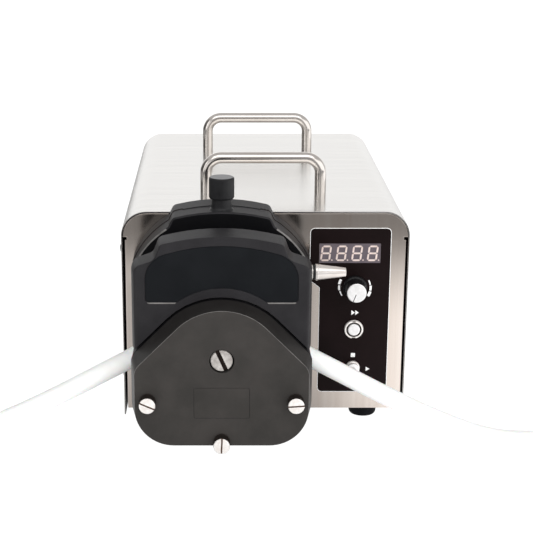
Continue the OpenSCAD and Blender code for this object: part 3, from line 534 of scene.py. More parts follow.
def held_path():
    """The stretch of tube inside the head: (x, z, thickness, width) from left to right."""
    r = TRACK_R - 0.3 - SQUEEZED / 2
    start = Vector((r * math.cos(ARC_END), SHAFT_Z + r * math.sin(ARC_END)))
    away = Vector((math.sin(ARC_END), -math.cos(ARC_END)))
    leave = Vector(TUBE_ROUTE[0])
    out = (Vector(TUBE_ROUTE[1]) - leave).normalized()
    controls = [start, start + 18 * away, leave - 20 * out, leave]
    half = []
    for i in range(10):
        a = math.pi / 2 - (math.pi / 2 - ARC_END) * i / 10
        half.append((r * math.cos(a), SHAFT_Z + r * math.sin(a), SQUEEZED, SQUEEZED_W))
    for i in range(21):
        t = i / 20
        p = ((1 - t) ** 3 * controls[0] + 3 * (1 - t) ** 2 * t * controls[1]
             + 3 * (1 - t) * t * t * controls[2] + t**3 * controls[3])
        e = t * t * (3 - 2 * t)
        half.append((p.x, p.y, SQUEEZED + (TUBE_D - SQUEEZED) * e,
                     SQUEEZED_W + (TUBE_D - SQUEEZED_W) * e))
    left = [(-x, z, t, w) for x, z, t, w in reversed(half) if x > 0.01]
    return left + half


def make_held_tube():
    path = [(HEAD_X + x, z, t, w) for x, z, t, w in held_path()]
    piece(hollow("tube_middle_soft", path), "silicone", "tube_middle")


# ----- case -----


def make_case_cover():
    def section(inner, outer):
        rims = []
        for grow in (outer, inner):
            x, z, r = WALL_X + grow, CASE_TOP + grow, CASE_R + grow
            rims.append(rounded_path([(x, SKIRT_Z), (x, z, r), (-x, z, r), (-x, SKIRT_Z)], 16))
        return rims[0] + rims[1][::-1]

    edge = 0.35
    length = REAR_Y - PANEL_Y
    steps = [(edge, 0.0), (edge * 0.3, edge * 0.3), (0.0, edge)]
    rings = [at_panel(section(d, SHEET - d), y) for d, y in steps]
    rings += [at_panel(section(d, SHEET - d), length - y) for d, y in reversed(steps)]
    # The front and rear rims get the painted edge highlight
    cover = loft("case_cover_sheet", rings, ["case_steel", "sheet_edge_painted_highlight", "painted_shade_dark"],
                 slot_of={0: 1, 1: 1, 3: 1, 4: 1})
    # Painted shade: the inner side of the sheet takes the dark shade material
    for polygon in cover.data.polygons:
        x = max(abs(polygon.center.x) / MM - (WALL_X - CASE_R), 0)
        z = max(polygon.center.z / MM - (CASE_TOP - CASE_R), 0)
        if math.hypot(x, z) < CASE_R + 0.05 and polygon.area > 1e-5:
            polygon.material_index = 2
    piece(cover, "case_steel", "case_cover")


PANEL_T = 1.5
SIDE_GAP = 2
NOTCH_Z = CASE_TOP - CASE_R - 0.5
OVERLAY_T = 0.4
WINDOW = (45.0, 96.3, 142.0, 159.0)


def control_holes(knob_r):
    """Holes for the knob, the button and the toggle."""
    holes = ((KNOB, knob_r), (BUTTON, 7.3), (TOGGLE, 5.3))
    return [circle(at.x, at.z, r) for at, r in holes]


def make_front_panel():
    side = WALL_X - SIDE_GAP
    full = WALL_X - 0.45
    rim = both_sides([
        (side, BASE_Z, 0.6), (side, NOTCH_Z - 2.6, 0), (side - 1.6, NOTCH_Z - 2.6, 0),
        (side - 1.6, NOTCH_Z, 0), (full, NOTCH_Z, 0.3), (full, CASE_TOP - 0.45, CASE_R - 0.45)])
    x0, x1, z0, z1 = WINDOW
    holes = [rounded(rectangle(x0 + 1, x1 - 1, z0 + 1, z1 - 1, 0.5), 3), *control_holes(5),
             circle(HEAD_X, SHAFT_Z, 28, 64)]
    panel = plate("front_panel_plate", [rounded(rim, 14), *holes], 0, PANEL_T, 0.3,
                  ["panel_steel"])
    piece(panel, "panel_steel", "front_panel")


OVERLAY = [(105.0, 27.0, 4), (105.0, 172.3, 4), (37.2, 172.3, 4), (37.2, 127.0, 1.5),
           (45.5, 120.5, 1.5), (45.5, 27.0, 4)]


def make_overlay():
    x0, x1, z0, z1 = WINDOW
    holes = [rounded(rectangle(x0, x1, z0, z1, 0.4), 2), *control_holes(5.3)]
    sheet = plate("control_overlay_film", [rounded(inset(OVERLAY, 0.45), 6), *holes],
                  -OVERLAY_T, -0.02, 0.1, ["overlay_black"])
    piece(sheet, "overlay_black", "control_overlay")
    # Painted highlight: a white band round the film's edge
    rim = plate("overlay_rim_painted_highlight", [rounded(OVERLAY, 6), rounded(inset(OVERLAY, 0.5), 6)],
                -0.32, 0, 0.1, ["print_white"])
    piece(rim, "overlay_black")


def segment(x, z, length, thick, upright, lean, base_z):
    """One bar of a digit, with pointed ends, leaning to the right."""
    h = thick / 2
    bar = [(-length / 2, 0), (-length / 2 + h, -h), (length / 2 - h, -h), (length / 2, 0),
           (length / 2 - h, h), (-length / 2 + h, h)]
    points = [(x + b, z - a) if upright else (x + a, z + b) for a, b in bar]
    return [(px + lean * (pz - base_z), pz) for px, pz in points]


def make_display():
    x0, x1, z0, z1 = WINDOW
    pitch, wide, high, stroke, lean = 13.0, 6.9, 12.0, 1.5, 0.12
    outlines = []
    for i in range(4):
        left = x0 + 1.5 + pitch * i
        low = z0 + 2.5
        half = high / 2
        for k in range(3):
            outlines.append(segment(left + wide / 2, low + k * half, wide - 0.5, stroke, False,
                                    lean, low))
        for side in (0, wide):
            for k in range(2):
                outlines.append(segment(left + side, low + (k + 0.5) * half, half - 0.5, stroke,
                                        True, lean, low))
        outlines.append(circle(left + wide + 2.3, low + 0.1, 0.6, 20))
    digits = plate("display_digits", outlines, -0.36, -0.28, 0.02, ["segment_pink"], 1)
    piece(digits, "display_grey", "display_module")
    glass = loft("display_glass", [
        at_panel(rounded(rectangle(x0 + d, x1 - d, z0 + d, z1 - d, 0.3), 2), y)
        for d, y in ((0.1, 10.2), (0.1, -0.24), (0.2, -0.3))], ["display_grey"])
    piece(glass, "display_grey", "display_module")
    middle_x, middle_z = (x0 + x1) / 2, (z0 + z1) / 2
    board = loft("display_board", [
        at_panel(rounded(rectangle(middle_x - 28.6, middle_x + 28.6, middle_z - 14.5,
                                   middle_z + 14.5, 1), 3), y) for y in (PANEL_T + 0.1, 3.4)],
                 ["board_green"])
    piece(board, "board_green", "display_module")


# ----- controls -----


def arrow(x, z, wide, tall):
    return [(x - wide / 2, z - tall / 2), (x + wide / 2, z), (x - wide / 2, z + tall / 2)]


def scale_mark(start, end, thick):
    """One block of the speed scale: a ring sector round the knob."""
    angles = [math.radians(start + (end - start) * i / 6) for i in range(7)]
    centre, r = (KNOB.x, KNOB.z), 12.4
    return circle_points(centre, r, angles) + circle_points(centre, r + thick, angles[::-1])


def make_symbols():
    run = arrow(KNOB.x + 12.9, TOGGLE.z - 1.6, 3.3, 3.9)
    outlines = [
        arrow(KNOB.x - 0.8, BUTTON.z + 14.5, 3, 4.3), arrow(KNOB.x + 2.5, BUTTON.z + 14.5, 3, 4.3),
        rounded(rectangle(KNOB.x - 1.8, KNOB.x + 1.8, TOGGLE.z + 9.2, TOGGLE.z + 12.8, 0.1), 1),
        run, [(2 * KNOB.x - x, z) for x, z in run]]
    for i in range(3):
        outlines.append(scale_mark(215 - 23 * i, 196 - 23 * i, 1.0 + 0.6 * i))
        outlines.append(scale_mark(28 - 22 * i, 9 - 22 * i, 1.2 + 0.6 * i))
    marks = plate("panel_print", outlines, -OVERLAY_T - 0.08, -OVERLAY_T + 0.02, 0.02,
                  ["print_white"], 1)
    piece(marks, "print_white", "panel_symbols")


def make_speed_knob():
    axis = (KNOB.x, PANEL_Y, KNOB.z)
    body = lathe([(6, -1.0), (10.4, -1.0, 0.3), (9.9, -4.0, 0.8), (8.9, -4.4, 0.4),
                  (8.5, -17.4, 0.5), (6, -17.4)])
    flutes = [(r, y, y < -4.2) for r, y in body]
    knob = turned("speed_knob_body", flutes, "y", axis, ["knob_black"], 160, 20, 0.45)
    piece(knob, "knob_black", "speed_knob", body="speed_knob")
    face = lathe([(5, -16.8), (8.1, -16.8, 0.05), (8.1, -17.7, 0.3), (7.5, -18.0, 0.2),
                  (4, -18.0), (1, -18.03)])
    cap = turned("speed_knob_silver_cap", face, "y", axis, ["knob_silver", "painted_shade_dark"])
    turn = math.radians(20)
    line = [(KNOB.x + x * math.cos(turn) + z * math.sin(turn),
             KNOB.z + z * math.cos(turn) - x * math.sin(turn))
            for x, z in ((-0.3, -9), (0.3, -9), (0.3, -1.2), (-0.3, -1.2))]
    cut_dark(cap, line, -19, -17.4)
    piece(cap, "knob_silver", "speed_knob_cap", body="speed_knob")


def make_fast_button():
    axis = (BUTTON.x, PANEL_Y, BUTTON.z)
    ring = lathe([(5.3, 3.0), (5.3, -1.6, 0.1), (6.1, -1.7, 0.15), (6.5, -3.0, 0.2),
                  (7.7, -3.0, 0.3), (8.1, -2.0, 0.5), (8.1, -0.4)])
    finish = ["screw_face", "painted_shade_dark"]
    bezel = turned("fast_button_ring", ring + [(6.9, -0.4), (6.9, 3.0)], "y", axis, finish)
    # Painted shade in the ring gap between the bezel and the button
    paint(bezel, 1, lambda c, n: 5.2 < math.hypot(c.x, c.z) < 6.35)
    # The two keyways that stop the bezel from turning
    for low, high, half in ((6.8, 7.5, 1.4), (-9.0, -6.9, 1.5)):
        key = rectangle(BUTTON.x - half, BUTTON.x + half, BUTTON.z + low, BUTTON.z + high, 0)
        cut_dark(bezel, [p[:2] for p in key], -4, -2.4)
    piece(bezel, "bright_steel", "fast_button_bezel")
    face = lathe([(4.5, 6.0), (5.1, 6.0, 0.1), (5.1, -3.2, 0.4), (4.4, -3.6, 0.5), (2.4, -3.55),
                  (0.8, -3.5)])
    cap = turned("fast_button_face", face, "y", axis, ["knob_silver"])
    piece(cap, "knob_silver", "fast_button_cap", body="fast_button")


def make_toggle():
    axis = (TOGGLE.x, PANEL_Y, TOGGLE.z)
    nut = lathe([(4.0, 1.5), (5.0, 1.5, 0.05), (5.0, -0.4, 0.05), (5.9, -0.4, 0.1),
                 (5.9, -2.6, 0.4), (5.2, -3.0, 0.2), (4.95, -3.1, 0.05), (4.95, -4.2, 0.2),
                 (4.1, -4.35)])
    ring = turned("run_switch_nut", nut + [(4.0, -4.0), (3.95, 1.0)], "y", axis,
                  ["screw_face"])
    piece(ring, "bright_steel")
    skirt = lathe([(1.4, -6.2), (5.0, -6.2, 0.2), (5.25, -6.6, 0.2), (5.0, -7.1, 0.2),
                   (3.4, -7.3, 0.3), (1.4, -7.6)])
    cap = turned("run_switch_dust_cap", skirt, "y", axis, ["print_white"], 64)
    piece(cap, "knob_silver", body="run_lever")


# ----- handles -----

HANDLE_BEND = 13.5


def make_handle(name, node):
    low, high = cad(node)
    y = (low.y + high.y) / 2
    r = (high.y - low.y) / 2
    half = (high.x - low.x) / 2 - r
    top = high.z - r
    line = rounded_path([(half, low.z), (half, top, HANDLE_BEND), (-half, top, HANDLE_BEND),
                         (-half, low.z)], 14)
    rings = []
    for (x, z), along in headings(line):
        rings.append([(x - along.y * r * math.cos(t), y + r * math.sin(t),
                       z + along.x * r * math.cos(t))
                      for t in (2 * math.pi * j / 48 for j in range(48))])
    bar = loft(name, rings, ["handle_steel"], angle=60)
    piece(bar, "handle_steel", node)


# ----- pump head -----

HALF_W = 73.0
CROWN_W = 43.2
SHOULDER_R = 79.5
SHOULDER_Z = 118.0
BELL_TIP = 166.5
ARCH_GAP = 0.6
ARCH_R = 60.2
PART_STEP = 0.55
EDGE = ["head_black", "painted_edge_highlight", "painted_shade_dark", "recess_painted_shade", "knob_black"]


def shoulder(bottom, bottom_r, arch=False):
    """Outline of the back plate and of the block behind it: round shoulders and a low crown."""
    first = math.acos(HALF_W / SHOULDER_R)
    last = math.acos(CROWN_W / SHOULDER_R)
    mid, half = (first + last) / 2, (last - first) / 2
    reach = SHOULDER_R / math.cos(half)
    corners = both_sides([
        (HALF_W, bottom, bottom_r),
        (HALF_W, SHOULDER_Z + SHOULDER_R * math.sin(first), 5),
        (reach * math.cos(mid), SHOULDER_Z + reach * math.sin(mid), SHOULDER_R * 0.92),
        (CROWN_W, SHOULDER_Z + SHOULDER_R * math.sin(last), 2.5),
        (39.6, 192.2, 5), (0, 201.7, 155)])
    return corners + [(0, BELL_TIP + ARCH_GAP * math.sqrt(2), ARCH_R)] if arch else corners


def arch_bottom(x):
    """Height where the arch over the bell meets a side at distance x."""
    return BELL_TIP + ARCH_GAP * math.sqrt(2) - x


def edge_rings(corners, y_rear, y_front, fillet):
    """Rings of a slab in front of the panel: a small rear chamfer and a round front edge."""
    rear, steps = 0.4, 4
    rings = [at_head(rounded(inset(corners, rear)), y_rear)]
    rings.append(at_head(rounded(corners), y_rear - rear))
    for i in range(steps + 1):
        a = math.pi / 2 * i / steps
        rings.append(at_head(rounded(inset(corners, fillet * (1 - math.cos(a)))),
                             y_front + fillet * (1 - math.sin(a))))
    return rings


def lip(grow, y_rear, y_front):
    """The middle of the crown, where the back plate and the block overlap by a step."""
    half = 31.5 + grow
    lift = 3 if grow else -0.03
    across = [half * (1 - i / 12) for i in range(25)]
    outline = [(-half, 184), (half, 184)]
    outline += [(x, 42.3 + math.sqrt(155**2 - x**2) + lift) for x in across]
    return loft("lip", [at_head(outline, y_rear), at_head(outline, y_front)], EDGE)


def make_back_plate():
    corners = shoulder(33, 30)
    rings = edge_rings(corners, 0, -20, 0.2)
    rings.append(at_head(rounded(inset(corners, 1.1), 8), -20))
    # Painted shade on the last strip of the front face: a dark line at the step to the block
    obj = loft("head_back_casting", rings, EDGE, slot_of={len(rings) - 2: 2})
    hole = turned("cut", [(17.5, 10), (17.5, -30)], "y", (HEAD_X, PANEL_Y, SHAFT_Z), EDGE)
    combine(obj, [hole])
    combine(obj, [lip(0, -18, -22.6)], "UNION")
    piece(obj, "head_black", "head_back_plate")


PLATE_REAR_Y = -72.0
MID_REAR_Y = -44.0


def plate_corners():
    """The block's front plate: square shoulders, an arched crown and the arch over the bell."""
    side = 70.5
    return both_sides([
        (side, arch_bottom(side), 1.5), (side, 166.3, 9), (53.3, 172.2, 7), (48.8, 184.4, 5.5),
        (0, 196.7, 180)]) + [(0, arch_bottom(0), ARCH_R)]


LABEL_R = 59.7
LABEL_Z = 90.0
LABEL_LEDGE = 138.5


def label_corners():
    foot = math.sqrt(LABEL_R**2 - (LABEL_LEDGE - LABEL_Z) ** 2)
    rise = math.atan2(LABEL_LEDGE - LABEL_Z, foot)
    tip = LABEL_Z + LABEL_R / math.sin(rise)
    return both_sides([(58.8, LABEL_LEDGE, 3), (58.8, 172.7, 20.5), (0, 188.7, 145)]) + [
        (-foot, LABEL_LEDGE, 0.4), (0, tip, LABEL_R * 0.98), (foot, LABEL_LEDGE, 0.4)]


def make_block_rear():
    """The rear flange of the block, with the neck that the lift knob stands on."""
    line = shoulder(arch_bottom(HALF_W), 1.5, True)
    # The flange stands back from the back plate by a small step, all but at its bottom arch
    line = inset(line, [PART_STEP] * (len(line) - 2) + [0, 0])
    rear = loft("block_rear_flange", edge_rings(line, -20.3, MID_REAR_Y, 1.4), EDGE)
    combine(rear, [lip(0.3, -19, -22.9)])
    front = PANEL_Y + MID_REAR_Y
    # Painted highlight along the front edge of the shoulders
    paint(rear, 1, lambda c, n: (abs(c.x - HEAD_X) > CROWN_W + 1 and c.z > 150
                                 and front + 0.05 < c.y < front + 0.9))
    # Painted shade on the crown's front face, which sits in the recess behind the front plate
    paint(rear, 3, lambda c, n: c.y < front + 0.01 and c.z > 150)
    neck_at = (HEAD_X, middle("lift_knob").y, 0)
    neck = turned("block_neck", lathe([(6, 188), (10.8, 188), (10.8, 195.6), (8.3, 198.2, 2.5),
                                       (7.7, 206), (5, 206)], 5), "z", neck_at, EDGE, 64)
    # The neck takes the darker knob black as painted shade
    combine(rear, [paint(neck, 4)], "UNION")
    piece(rear, "head_black", "upper_block", body="block")


def make_block_web():
    """The narrow middle of the block, whose underside is the roof of the tube track."""
    path = [p for p in held_path() if abs(p[0]) < 66]
    roof = []
    for (x, z, thick, _), along in headings(path):
        gap = thick / 2 + 0.3
        roof.append((x - along.y * gap, z + along.x * gap))
    # The roof stops inside the web's own sides, so the outline never crosses itself
    roof = [p for p in roof if abs(p[0]) < 65]
    top = rounded(both_sides([(66, 148, 10), (38, 165, 8), (34, 177, 3)]), 6)
    line = [(66, roof[-1][1])] + top + [(-66, roof[0][1])] + roof
    web = loft("block_web", [at_head(line, MID_REAR_Y + 1), at_head(line, PLATE_REAR_Y - 1)], EDGE)
    piece(web, "head_black", "upper_block", body="block")


def make_block_front():
    """The front plate of the block and the label in its recess."""
    corners = plate_corners()
    # How far each edge leans in between the widest line and the face, from the right side on
    lean = [5.2, 0.8, 2.6, 0.6, 0.6, 2.6, 0.8, 5.2]
    fillet = 1.5

    def ring(share, arch, y):
        edges = [d * share for d in lean] + [arch, arch]
        return at_head(rounded(inset(corners, edges), 10), y)

    rings = [ring(0.12, 0.3, PLATE_REAR_Y), ring(0, 0, PLATE_REAR_Y - 0.6)]
    for share, y in ((0.0, -78.0), (0.12, -86.0), (0.32, -92.5), (0.5, -95.6)):
        rings.append(ring(share, 0, y))
    for i in range(1, 7):
        a = math.pi / 2 * i / 6
        rings.append(ring(0.5 + 0.5 * (1 - math.cos(a)), 0.6 * (1 - math.cos(a)),
                          BLOCK_FACE_Y + (fillet + 0.9) * (1 - math.sin(a))))
    front = loft("block_front_plate", rings, EDGE)
    recess = label_corners()
    # The mouth of the recess is bevelled, most of all along its two bottom ledges
    mouth = [0.3, 0.3, 0.3, 0.3, 0.9, 0.3, 0.3, 0.9]
    cutter = loft("cut", [at_head(rounded(inset(recess, [-d * k for d in mouth]), 10),
                                  BLOCK_FACE_Y + y)
                          for k, y in ((3.0, -0.8), (1.0, 0.0), (0.0, 0.4), (0.0, 1.2))], EDGE)
    combine(front, [cutter])
    # Painted highlight on the recess's two bottom ledges
    paint(front, 1, lambda c, n: (n.z > 0.2 and abs(c.z - LABEL_LEDGE + 0.4) < 0.45
                                  and 36 < abs(c.x - HEAD_X) < 57))
    piece(front, "head_black", "upper_block", body="block")
    label = loft("label_film", [at_head(rounded(inset(recess, d), 10), BLOCK_FACE_Y + y)
                                for d, y in ((0.15, 1.15), (0.15, 0.5), (0.25, 0.4))],
                 ["label_black"])
    piece(label, "label_black", "label_plate", body="block")


def bell(t, grow=0.0):
    """Outline of the cover between its rear (t = 0) and its face (t = 1)."""
    half_w = 70.5 - 3.7 * t
    bottom = 27.5 + 3.6 * t
    tip = BELL_TIP - 6.5 * t
    top = tip + grow * math.sqrt(2)
    side = half_w + grow
    return rounded(both_sides([
        (side, bottom - grow, 31 - t + grow), (side, top - side, 13 + grow),
        (0, top, 59.6 - 11.8 * t + grow)]), 16)


# Place of each cover screw from the middle of the head, and the turn of its slot
COVER_SCREWS = [(-56.5, 68.2, -24), (56.5, 68.2, 4), (0, 35.3, 88)]


def make_front_cover():
    deep = BLOCK_FACE_Y - COVER_FACE_Y
    rings = [at_head(bell(0, -0.3), BLOCK_FACE_Y), at_head(bell(0.02), BLOCK_FACE_Y - 0.4)]
    for t in (0.08, 0.25, 0.5, 0.75, 0.99):
        rings.append(at_head(bell(t), BLOCK_FACE_Y - deep * t))
    rings.append(at_head(bell(1, -0.22), COVER_FACE_Y))
    # Painted shade on the two rear strips next to the block and on the sloped sides; painted
    # highlight on the front rim
    cover = loft("head_cover_casting", rings,
                 ["cover_grey", "painted_edge_highlight", "cover_side_painted_shade", "recess_painted_shade"],
                 slot_of={0: 3, 1: 3, 2: 2, 3: 2, 4: 2, 5: 2, 6: 1})
    slots = list(cover.data.materials)
    hole = turned("cut", [(9.5, 4), (9.5, -deep + 0.5), (10.0, -deep), (11.0, -deep - 1)], "y",
                  (HEAD_X, PANEL_Y + BLOCK_FACE_Y, SHAFT_Z), slots)
    pad = rectangle(-21.5, 21.5, 53.5, 78.7, 1.5)
    # The walls of the shallow pad recess take the painted shade of the sides
    shallow = loft("cut2", [at_head(rounded(inset(pad, d), 4), COVER_FACE_Y + y) for d, y in
                          ((-0.8, -0.5), (0.0, 0.0), (0.4, 0.4))], slots,
                 slot_of={1: 2})
    combine(cover, [hole, shallow])
    piece(cover, "cover_grey", "head_front_cover")


def make_thumb_screw(name, x, z, turn):
    y0 = cad("cover_screws")[0].y - PANEL_Y
    axis = (HEAD_X + x, PANEL_Y, z)
    body = lathe([(4.5, COVER_FACE_Y + 0.2), (5.6, COVER_FACE_Y + 0.2, 0.1),
                  (5.6, COVER_FACE_Y - 1.6, 0.1), (6.35, COVER_FACE_Y - 1.8, 0.3),
                  (6.35, y0 + 0.8, 0.1), (5.75, y0 + 0.05, 0.2), (3.2, y0), (0.8, y0 - 0.03)])
    ribs = [(r, y, r > 6.2) for r, y in body]
    screw = turned(name, ribs, "y", axis, ["screw_face", "painted_shade_brown", "knurl_steel_painted_shade"],
                   180, 45, 0.3)
    # Painted shade on the knurled side
    paint(screw, 2, lambda c, n: c.y > y0 + 0.75)
    cut_slot(screw, axis, y0, 8, 0.62, 1.4, turn)
    piece(screw, "bright_steel", "cover_screws")


def cut_slot(obj, axis, y, reach, half, deep, turn):
    """A driver slot across the end of a turned part, its walls in painted shade."""
    angle = math.radians(turn)
    corners = [(-reach, -half), (reach, -half), (reach, half), (-reach, half)]
    line = [(axis[0] + a * math.cos(angle) - b * math.sin(angle),
             axis[2] + a * math.sin(angle) + b * math.cos(angle)) for a, b in corners]
    cut_dark(obj, line, y - 2, y + deep)


def make_shaft():
    low, high = cad("main_shaft")
    axis = (HEAD_X, PANEL_Y, SHAFT_Z)
    y0, y1 = low.y - PANEL_Y, high.y - PANEL_Y
    body = lathe([(5, y1), (8.0, y1, 0.2), (8.5, y1 - 1, 0.2), (8.5, y0 + 0.5, 0.2),
                  (8.0, y0, 0.2), (4, y0), (1, y0)])
    shaft = turned("drive_shaft", body, "y", axis, ["shaft_face", "painted_shade_dark"])
    cut_slot(shaft, axis, y0, 10, 1.6, 3, 114)
    piece(shaft, "shaft_steel", "main_shaft", body="rotor")


def make_lift_knob():
    low, high = cad("lift_knob")
    axis = (HEAD_X, (low.y + high.y) / 2, 0)
    body = lathe([(3.9, low.z), (3.9, 205.8), (9.6, 205.8, 0.3), (10.15, 206.8, 0.3),
                  (10.15, high.z - 0.9, 0.3), (9.3, high.z, 0.5), (5, high.z)])
    ribs = [(r, z, r > 10.0) for r, z in body]
    knob = turned("lift_knob_turned", ribs, "z", axis, ["knob_black", "knob_top"], 240, 60,
                  0.16)
    # Painted highlight on the top face
    paint(knob, 1, lambda c, n: n.z > 0.95 and c.z > high.z - 0.1)
    piece(knob, "knob_black", "lift_knob", body="block")


def make_plunger():
    low, high = cad("plunger_knob")
    axis = (0, (low.y + high.y) / 2, (low.z + high.z) / 2)
    start = cad("plunger_sleeve")[0].x
    sleeve_end = cad("plunger_sleeve")[1].x
    neck = lathe([(4.9, start + 2), (5.0, sleeve_end - 2.4, 0.1), (6.0, sleeve_end - 1.5, 0.3),
                  (6.0, sleeve_end - 0.3, 0.3), (3.3, sleeve_end)])
    sleeve = turned("plunger_neck", neck, "x", axis, ["plunger_steel"], 64)
    piece(sleeve, "bright_steel", "plunger_sleeve", body="block")
    x0, x1 = low.x, high.x
    body = lathe([(3.2, x0), (6.2, x0, 0.2), (6.2, x0 + 1.5, 0.05), (6.5, x0 + 1.6, 0.05),
                  (6.8, x0 + 1.8, 0.2), (6.75, x0 + 3.4, 0.1), (6.6, x0 + 3.8, 0.1),
                  (3.6, x1 - 0.4, 0.5), (1.6, x1), (0.6, x1)])
    knob = turned("plunger_grip", body, "x", axis, ["plunger_steel", "knob_black"], 80)
    paint(knob, 1, lambda c, n: c.x < x0 + 1.55)
    piece(knob, "knob_silver", "plunger_knob", body="plunger")


FOOT_R = 13


def make_feet():
    low, high = cad("feet")
    xs, ys = (low.x + FOOT_R, high.x - FOOT_R), (low.y + FOOT_R, high.y - FOOT_R)
    for i in range(4):
        body = lathe([(4.5, 3.5), (4.5, 0), (10.4, 0, 1.2), (11.6, 1.6, 1.0), (FOOT_R, 11.0, 0.5),
                      (12.6, 12.0, 0.2), (5, 12.0)])
        foot = turned("rubber_foot_%d" % (i + 1), body, "z", (xs[i % 2], ys[i // 2], 0),
                      ["foot_rubber"], 64)
        piece(foot, "foot_rubber", "feet")


def make_side_screws():
    for side in (-1, 1):
        for i, (y, z) in enumerate(((15, 151), (15, 40), (330, 151), (330, 40))):
            x = side * (WALL_X + SHEET)
            body = lathe([(1.9, 0), (3.8, 0, 0.1), (3.7, 0.9, 0.5), (2.6, 1.8, 0.8), (1.0, 1.8)])
            profile = [(r, x + side * d) for r, d in body]
            screw = turned("side_screw_%s_%d" % ("l" if side < 0 else "r", i + 1), profile, "x",
                           (0, PANEL_Y + y, z), ["zinc_steel"], 40)
            piece(screw, "zinc_steel", "side_screws")


# ----- CAD nodes that keep their shape -----

FINISH = {
    "zinc_steel": (
        "base_tray foot_screws handle_screws speed_encoder motor_screws rear_screws head_screws"),
    "case_steel": "rear_panel",
    "bright_steel": "run_switch_body",
    "screw_face": "run_switch_lever",
    "motor_paint": "drive_motor",
    "cast_alloy": "gearbox shaft_coupling rotor_discs",
    "shaft_steel": (
        "gearbox_shaft guide_rods shaft_bearings roller_axles roller_1 roller_2 roller_3 "
        "plunger_pin"),
    "supply_alloy": "motor_bracket power_supply",
    "board_green": "control_board",
    "black_plastic": "fan_frame fan_rotor inlet_socket power_switch_body fuse_holder",
    "wire_steel": "fan_guard control_connector plunger_spring",
    "rocker_red": "power_rocker",
    "head_black": "head_lower_body",
}
NO_BEVEL = ("fan_guard", "plunger_spring", "run_switch_lever", "rear_panel")
THIN = {"base_tray": 0.3}


def finish_cad_nodes():
    finish_of = {name: finish for finish, names in FINISH.items() for name in names.split()}
    for name, finish in finish_of.items():
        obj = nodes[name]
        obj.data.materials.clear()
        obj.data.materials.append(M[finish])
        weld = obj.modifiers.new("weld", "WELD")
        weld.merge_threshold = 0.005 * MM
        if name not in NO_BEVEL:
            bevel = obj.modifiers.new("broken_edges", "BEVEL")
            bevel.width = THIN.get(name, 0.35) * MM
            bevel.segments = 2
            bevel.limit_method = "ANGLE"
            bevel.angle_limit = math.radians(40)
            bevel.harden_normals = False
            keep_flats(obj)


# ----- studio -----


def make_floor():
    """A white table, plain white to the camera; to other rays its glow fades towards the viewer,
    to the left and behind, and holds a painted shadow of the pump head round its foot.
    """
    mesh = bpy.data.meshes.new("studio_floor")
    mesh.from_pydata([(-2.5, -1.9, 0), (2.5, -1.9, 0), (2.5, 3.0, 0), (-2.5, 3.0, 0)], [],
                     [(0, 1, 2, 3)])
    floor = bpy.data.objects.new("studio_floor", mesh)
    material = bpy.data.materials.new("light_table")
    material.use_nodes = True
    tree = material.node_tree
    bsdf = tree.nodes["Principled BSDF"]
    place = add(tree, "ShaderNodeTexCoord").outputs["Object"]
    split = add(tree, "ShaderNodeSeparateXYZ", {"Vector": place})
    x, y = split.outputs["X"], split.outputs["Y"]
    ahead = mapped(tree, y, -0.8, -0.34, 0.05, 1.18)
    left = mapped(tree, x, -0.5, -0.26, 0.15, 1.0)
    # Painted shadow of the pump head on the table, beside it and in front of it
    beside = maths(tree, "ABSOLUTE", maths(tree, "SUBTRACT", x, HEAD_X * MM))
    inwards = maths(tree, "SUBTRACT", beside, mapped(tree, y, -0.4, -0.2, 0.018, 0.0))
    near = mapped(tree, inwards, 0.05, 0.17, 0.25, 1.0)
    distant = mapped(tree, beside, 0.07, 0.3, 0.02, 1.0)
    split_at = mapped(tree, y, -0.8, -0.6, 0.0, 1.0)
    lifted = maths(tree, "MAXIMUM", near, mapped(tree, y, -0.57, -0.42, 0.72, 0.0))
    close_by = maths(tree, "MULTIPLY", lifted, split_at)
    far_off = maths(tree, "MULTIPLY", distant, maths(tree, "SUBTRACT", 1.0, split_at))
    glow = maths(tree, "MULTIPLY", ahead, maths(tree, "ADD", close_by, far_off))
    glow = maths(tree, "MULTIPLY", glow, left)
    glow = maths(tree, "MULTIPLY", glow, mapped(tree, y, -0.05, 0.15, 1.0, 0.68))
    seen = add(tree, "ShaderNodeLightPath").outputs["Is Camera Ray"]
    tree.links.new(maths(tree, "MAXIMUM", glow, seen), bsdf.inputs["Emission Strength"])
    bsdf.inputs["Base Color"].default_value = (0.2, 0.2, 0.2, 1)
    bsdf.inputs["Roughness"].default_value = 0.9
    bsdf.inputs["Specular IOR Level"].default_value = 0.0
    bsdf.inputs["Emission Color"].default_value = (1, 1, 1, 1)
    mesh.materials.append(material)
    show(floor)


def maths(tree, operation, *values):
    """One step of arithmetic between sockets and numbers."""
    return add(tree, "ShaderNodeMath", dict(enumerate(values)), operation=operation).outputs[0]


def mapped(tree, value, from_min, from_max, low, high):
    """A value ramped smoothly from low to high, and held at both ends."""
    return add(tree, "ShaderNodeMapRange", {
        "Value": value, "From Min": from_min, "From Max": from_max, "To Min": low, "To Max": high,
    }, interpolation_type="SMOOTHSTEP").outputs["Result"]


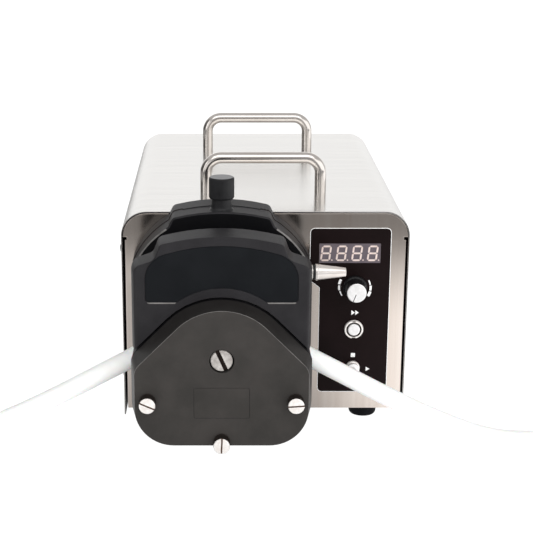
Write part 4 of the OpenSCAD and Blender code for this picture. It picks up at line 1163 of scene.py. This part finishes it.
def make_world():
    """A dim room with a bright wall behind, a bright right side and a narrow left window."""
    world = bpy.data.worlds.new("studio")
    bpy.context.scene.world = world
    world.use_nodes = True
    tree = world.node_tree
    background = tree.nodes["Background"]
    way = add(tree, "ShaderNodeTexCoord").outputs["Generated"]
    split = add(tree, "ShaderNodeSeparateXYZ", {"Vector": way})
    height = maths(tree, "ABSOLUTE", split.outputs["Z"])
    low = mapped(tree, height, 0.4, 0.7, 1.0, 0.0)
    total = None
    # Direction, where the glow starts and is full (cosines), strength
    for direction, start, full, strength in (
            ((0.0, 1.0, 0.0), 0.75, 0.92, 1.2),
            ((0.86, -0.5, 0.0), 0.62, 0.82, 1.25),
            ((0.8, 0.6, 0.0), 0.8, 0.95, 0.6),
            ((-0.5, -0.86, 0.0), 0.93, 0.97, 0.9)):
        facing = add(tree, "ShaderNodeVectorMath", {0: way, 1: direction}, operation="DOT_PRODUCT")
        part = mapped(tree, facing.outputs["Value"], start, full, 0.0, strength)
        total = part if total is None else maths(tree, "MAXIMUM", total, part)
    total = maths(tree, "MULTIPLY", total, low)
    # The ceiling in front is grey and the room is dark near the horizon
    ceiling = mapped(tree, split.outputs["Z"], 0.1, 0.4, 0.3, 0.5)
    far_left = mapped(tree, split.outputs["X"], -0.85, -0.7, 0.3, 1.0)
    ceiling = maths(tree, "MULTIPLY", ceiling, far_left)
    total = maths(tree, "MAXIMUM", total, ceiling)
    seen = add(tree, "ShaderNodeLightPath").outputs["Is Camera Ray"]
    tree.links.new(maths(tree, "MAXIMUM", total, seen), background.inputs["Strength"])
    background.inputs["Color"].default_value = (1, 1, 1, 1)


def make_light(name, at, target, size, power, glossy=True):
    """A soft area light. One that isn't glossy lights matt faces but isn't mirrored in metal."""
    data = bpy.data.lights.new(name, "AREA")
    data.shape = "RECTANGLE"
    data.size, data.size_y = size
    data.energy = power
    light = bpy.data.objects.new(name, data)
    light.location = at
    light.rotation_euler = (Vector(target) - Vector(at)).to_track_quat("-Z", "Y").to_euler()
    light.visible_camera = False
    light.visible_glossy = glossy
    show(light)


def make_studio():
    make_floor()
    make_world()
    make_light("softbox_front", (0.2, -1.7, 0.5), (0, -0.1, 0.1), (1.8, 1.0), 16, False)
    make_light("softbox_left", (-1.1, -0.7, 0.45), (0, -0.1, 0.1), (0.3, 0.8), 1)
    make_light("softbox_top", (0, -0.9, 1.2), (0, 0, 0.25), (1.6, 0.9), 5.5)
    scene = bpy.context.scene
    scene.view_settings.view_transform = "Standard"
    scene.view_settings.look = "None"


# ----- build -----

make_camera()
make_free_tube("tube_left_hose", -1)
make_free_tube("tube_right_hose", 1)
make_held_tube()
make_case_cover()
make_front_panel()
make_overlay()
make_display()
make_symbols()
make_speed_knob()
make_fast_button()
make_toggle()
make_handle("handle_front_bar", "handle_front")
make_handle("handle_rear_bar", "handle_rear")
make_back_plate()
make_block_rear()
make_block_web()
make_block_front()
make_front_cover()
for index, place in enumerate(COVER_SCREWS):
    make_thumb_screw("cover_screw_%d" % (index + 1), *place)
make_shaft()
make_lift_knob()
make_plunger()
make_feet()
make_side_screws()
finish_cad_nodes()
make_studio()
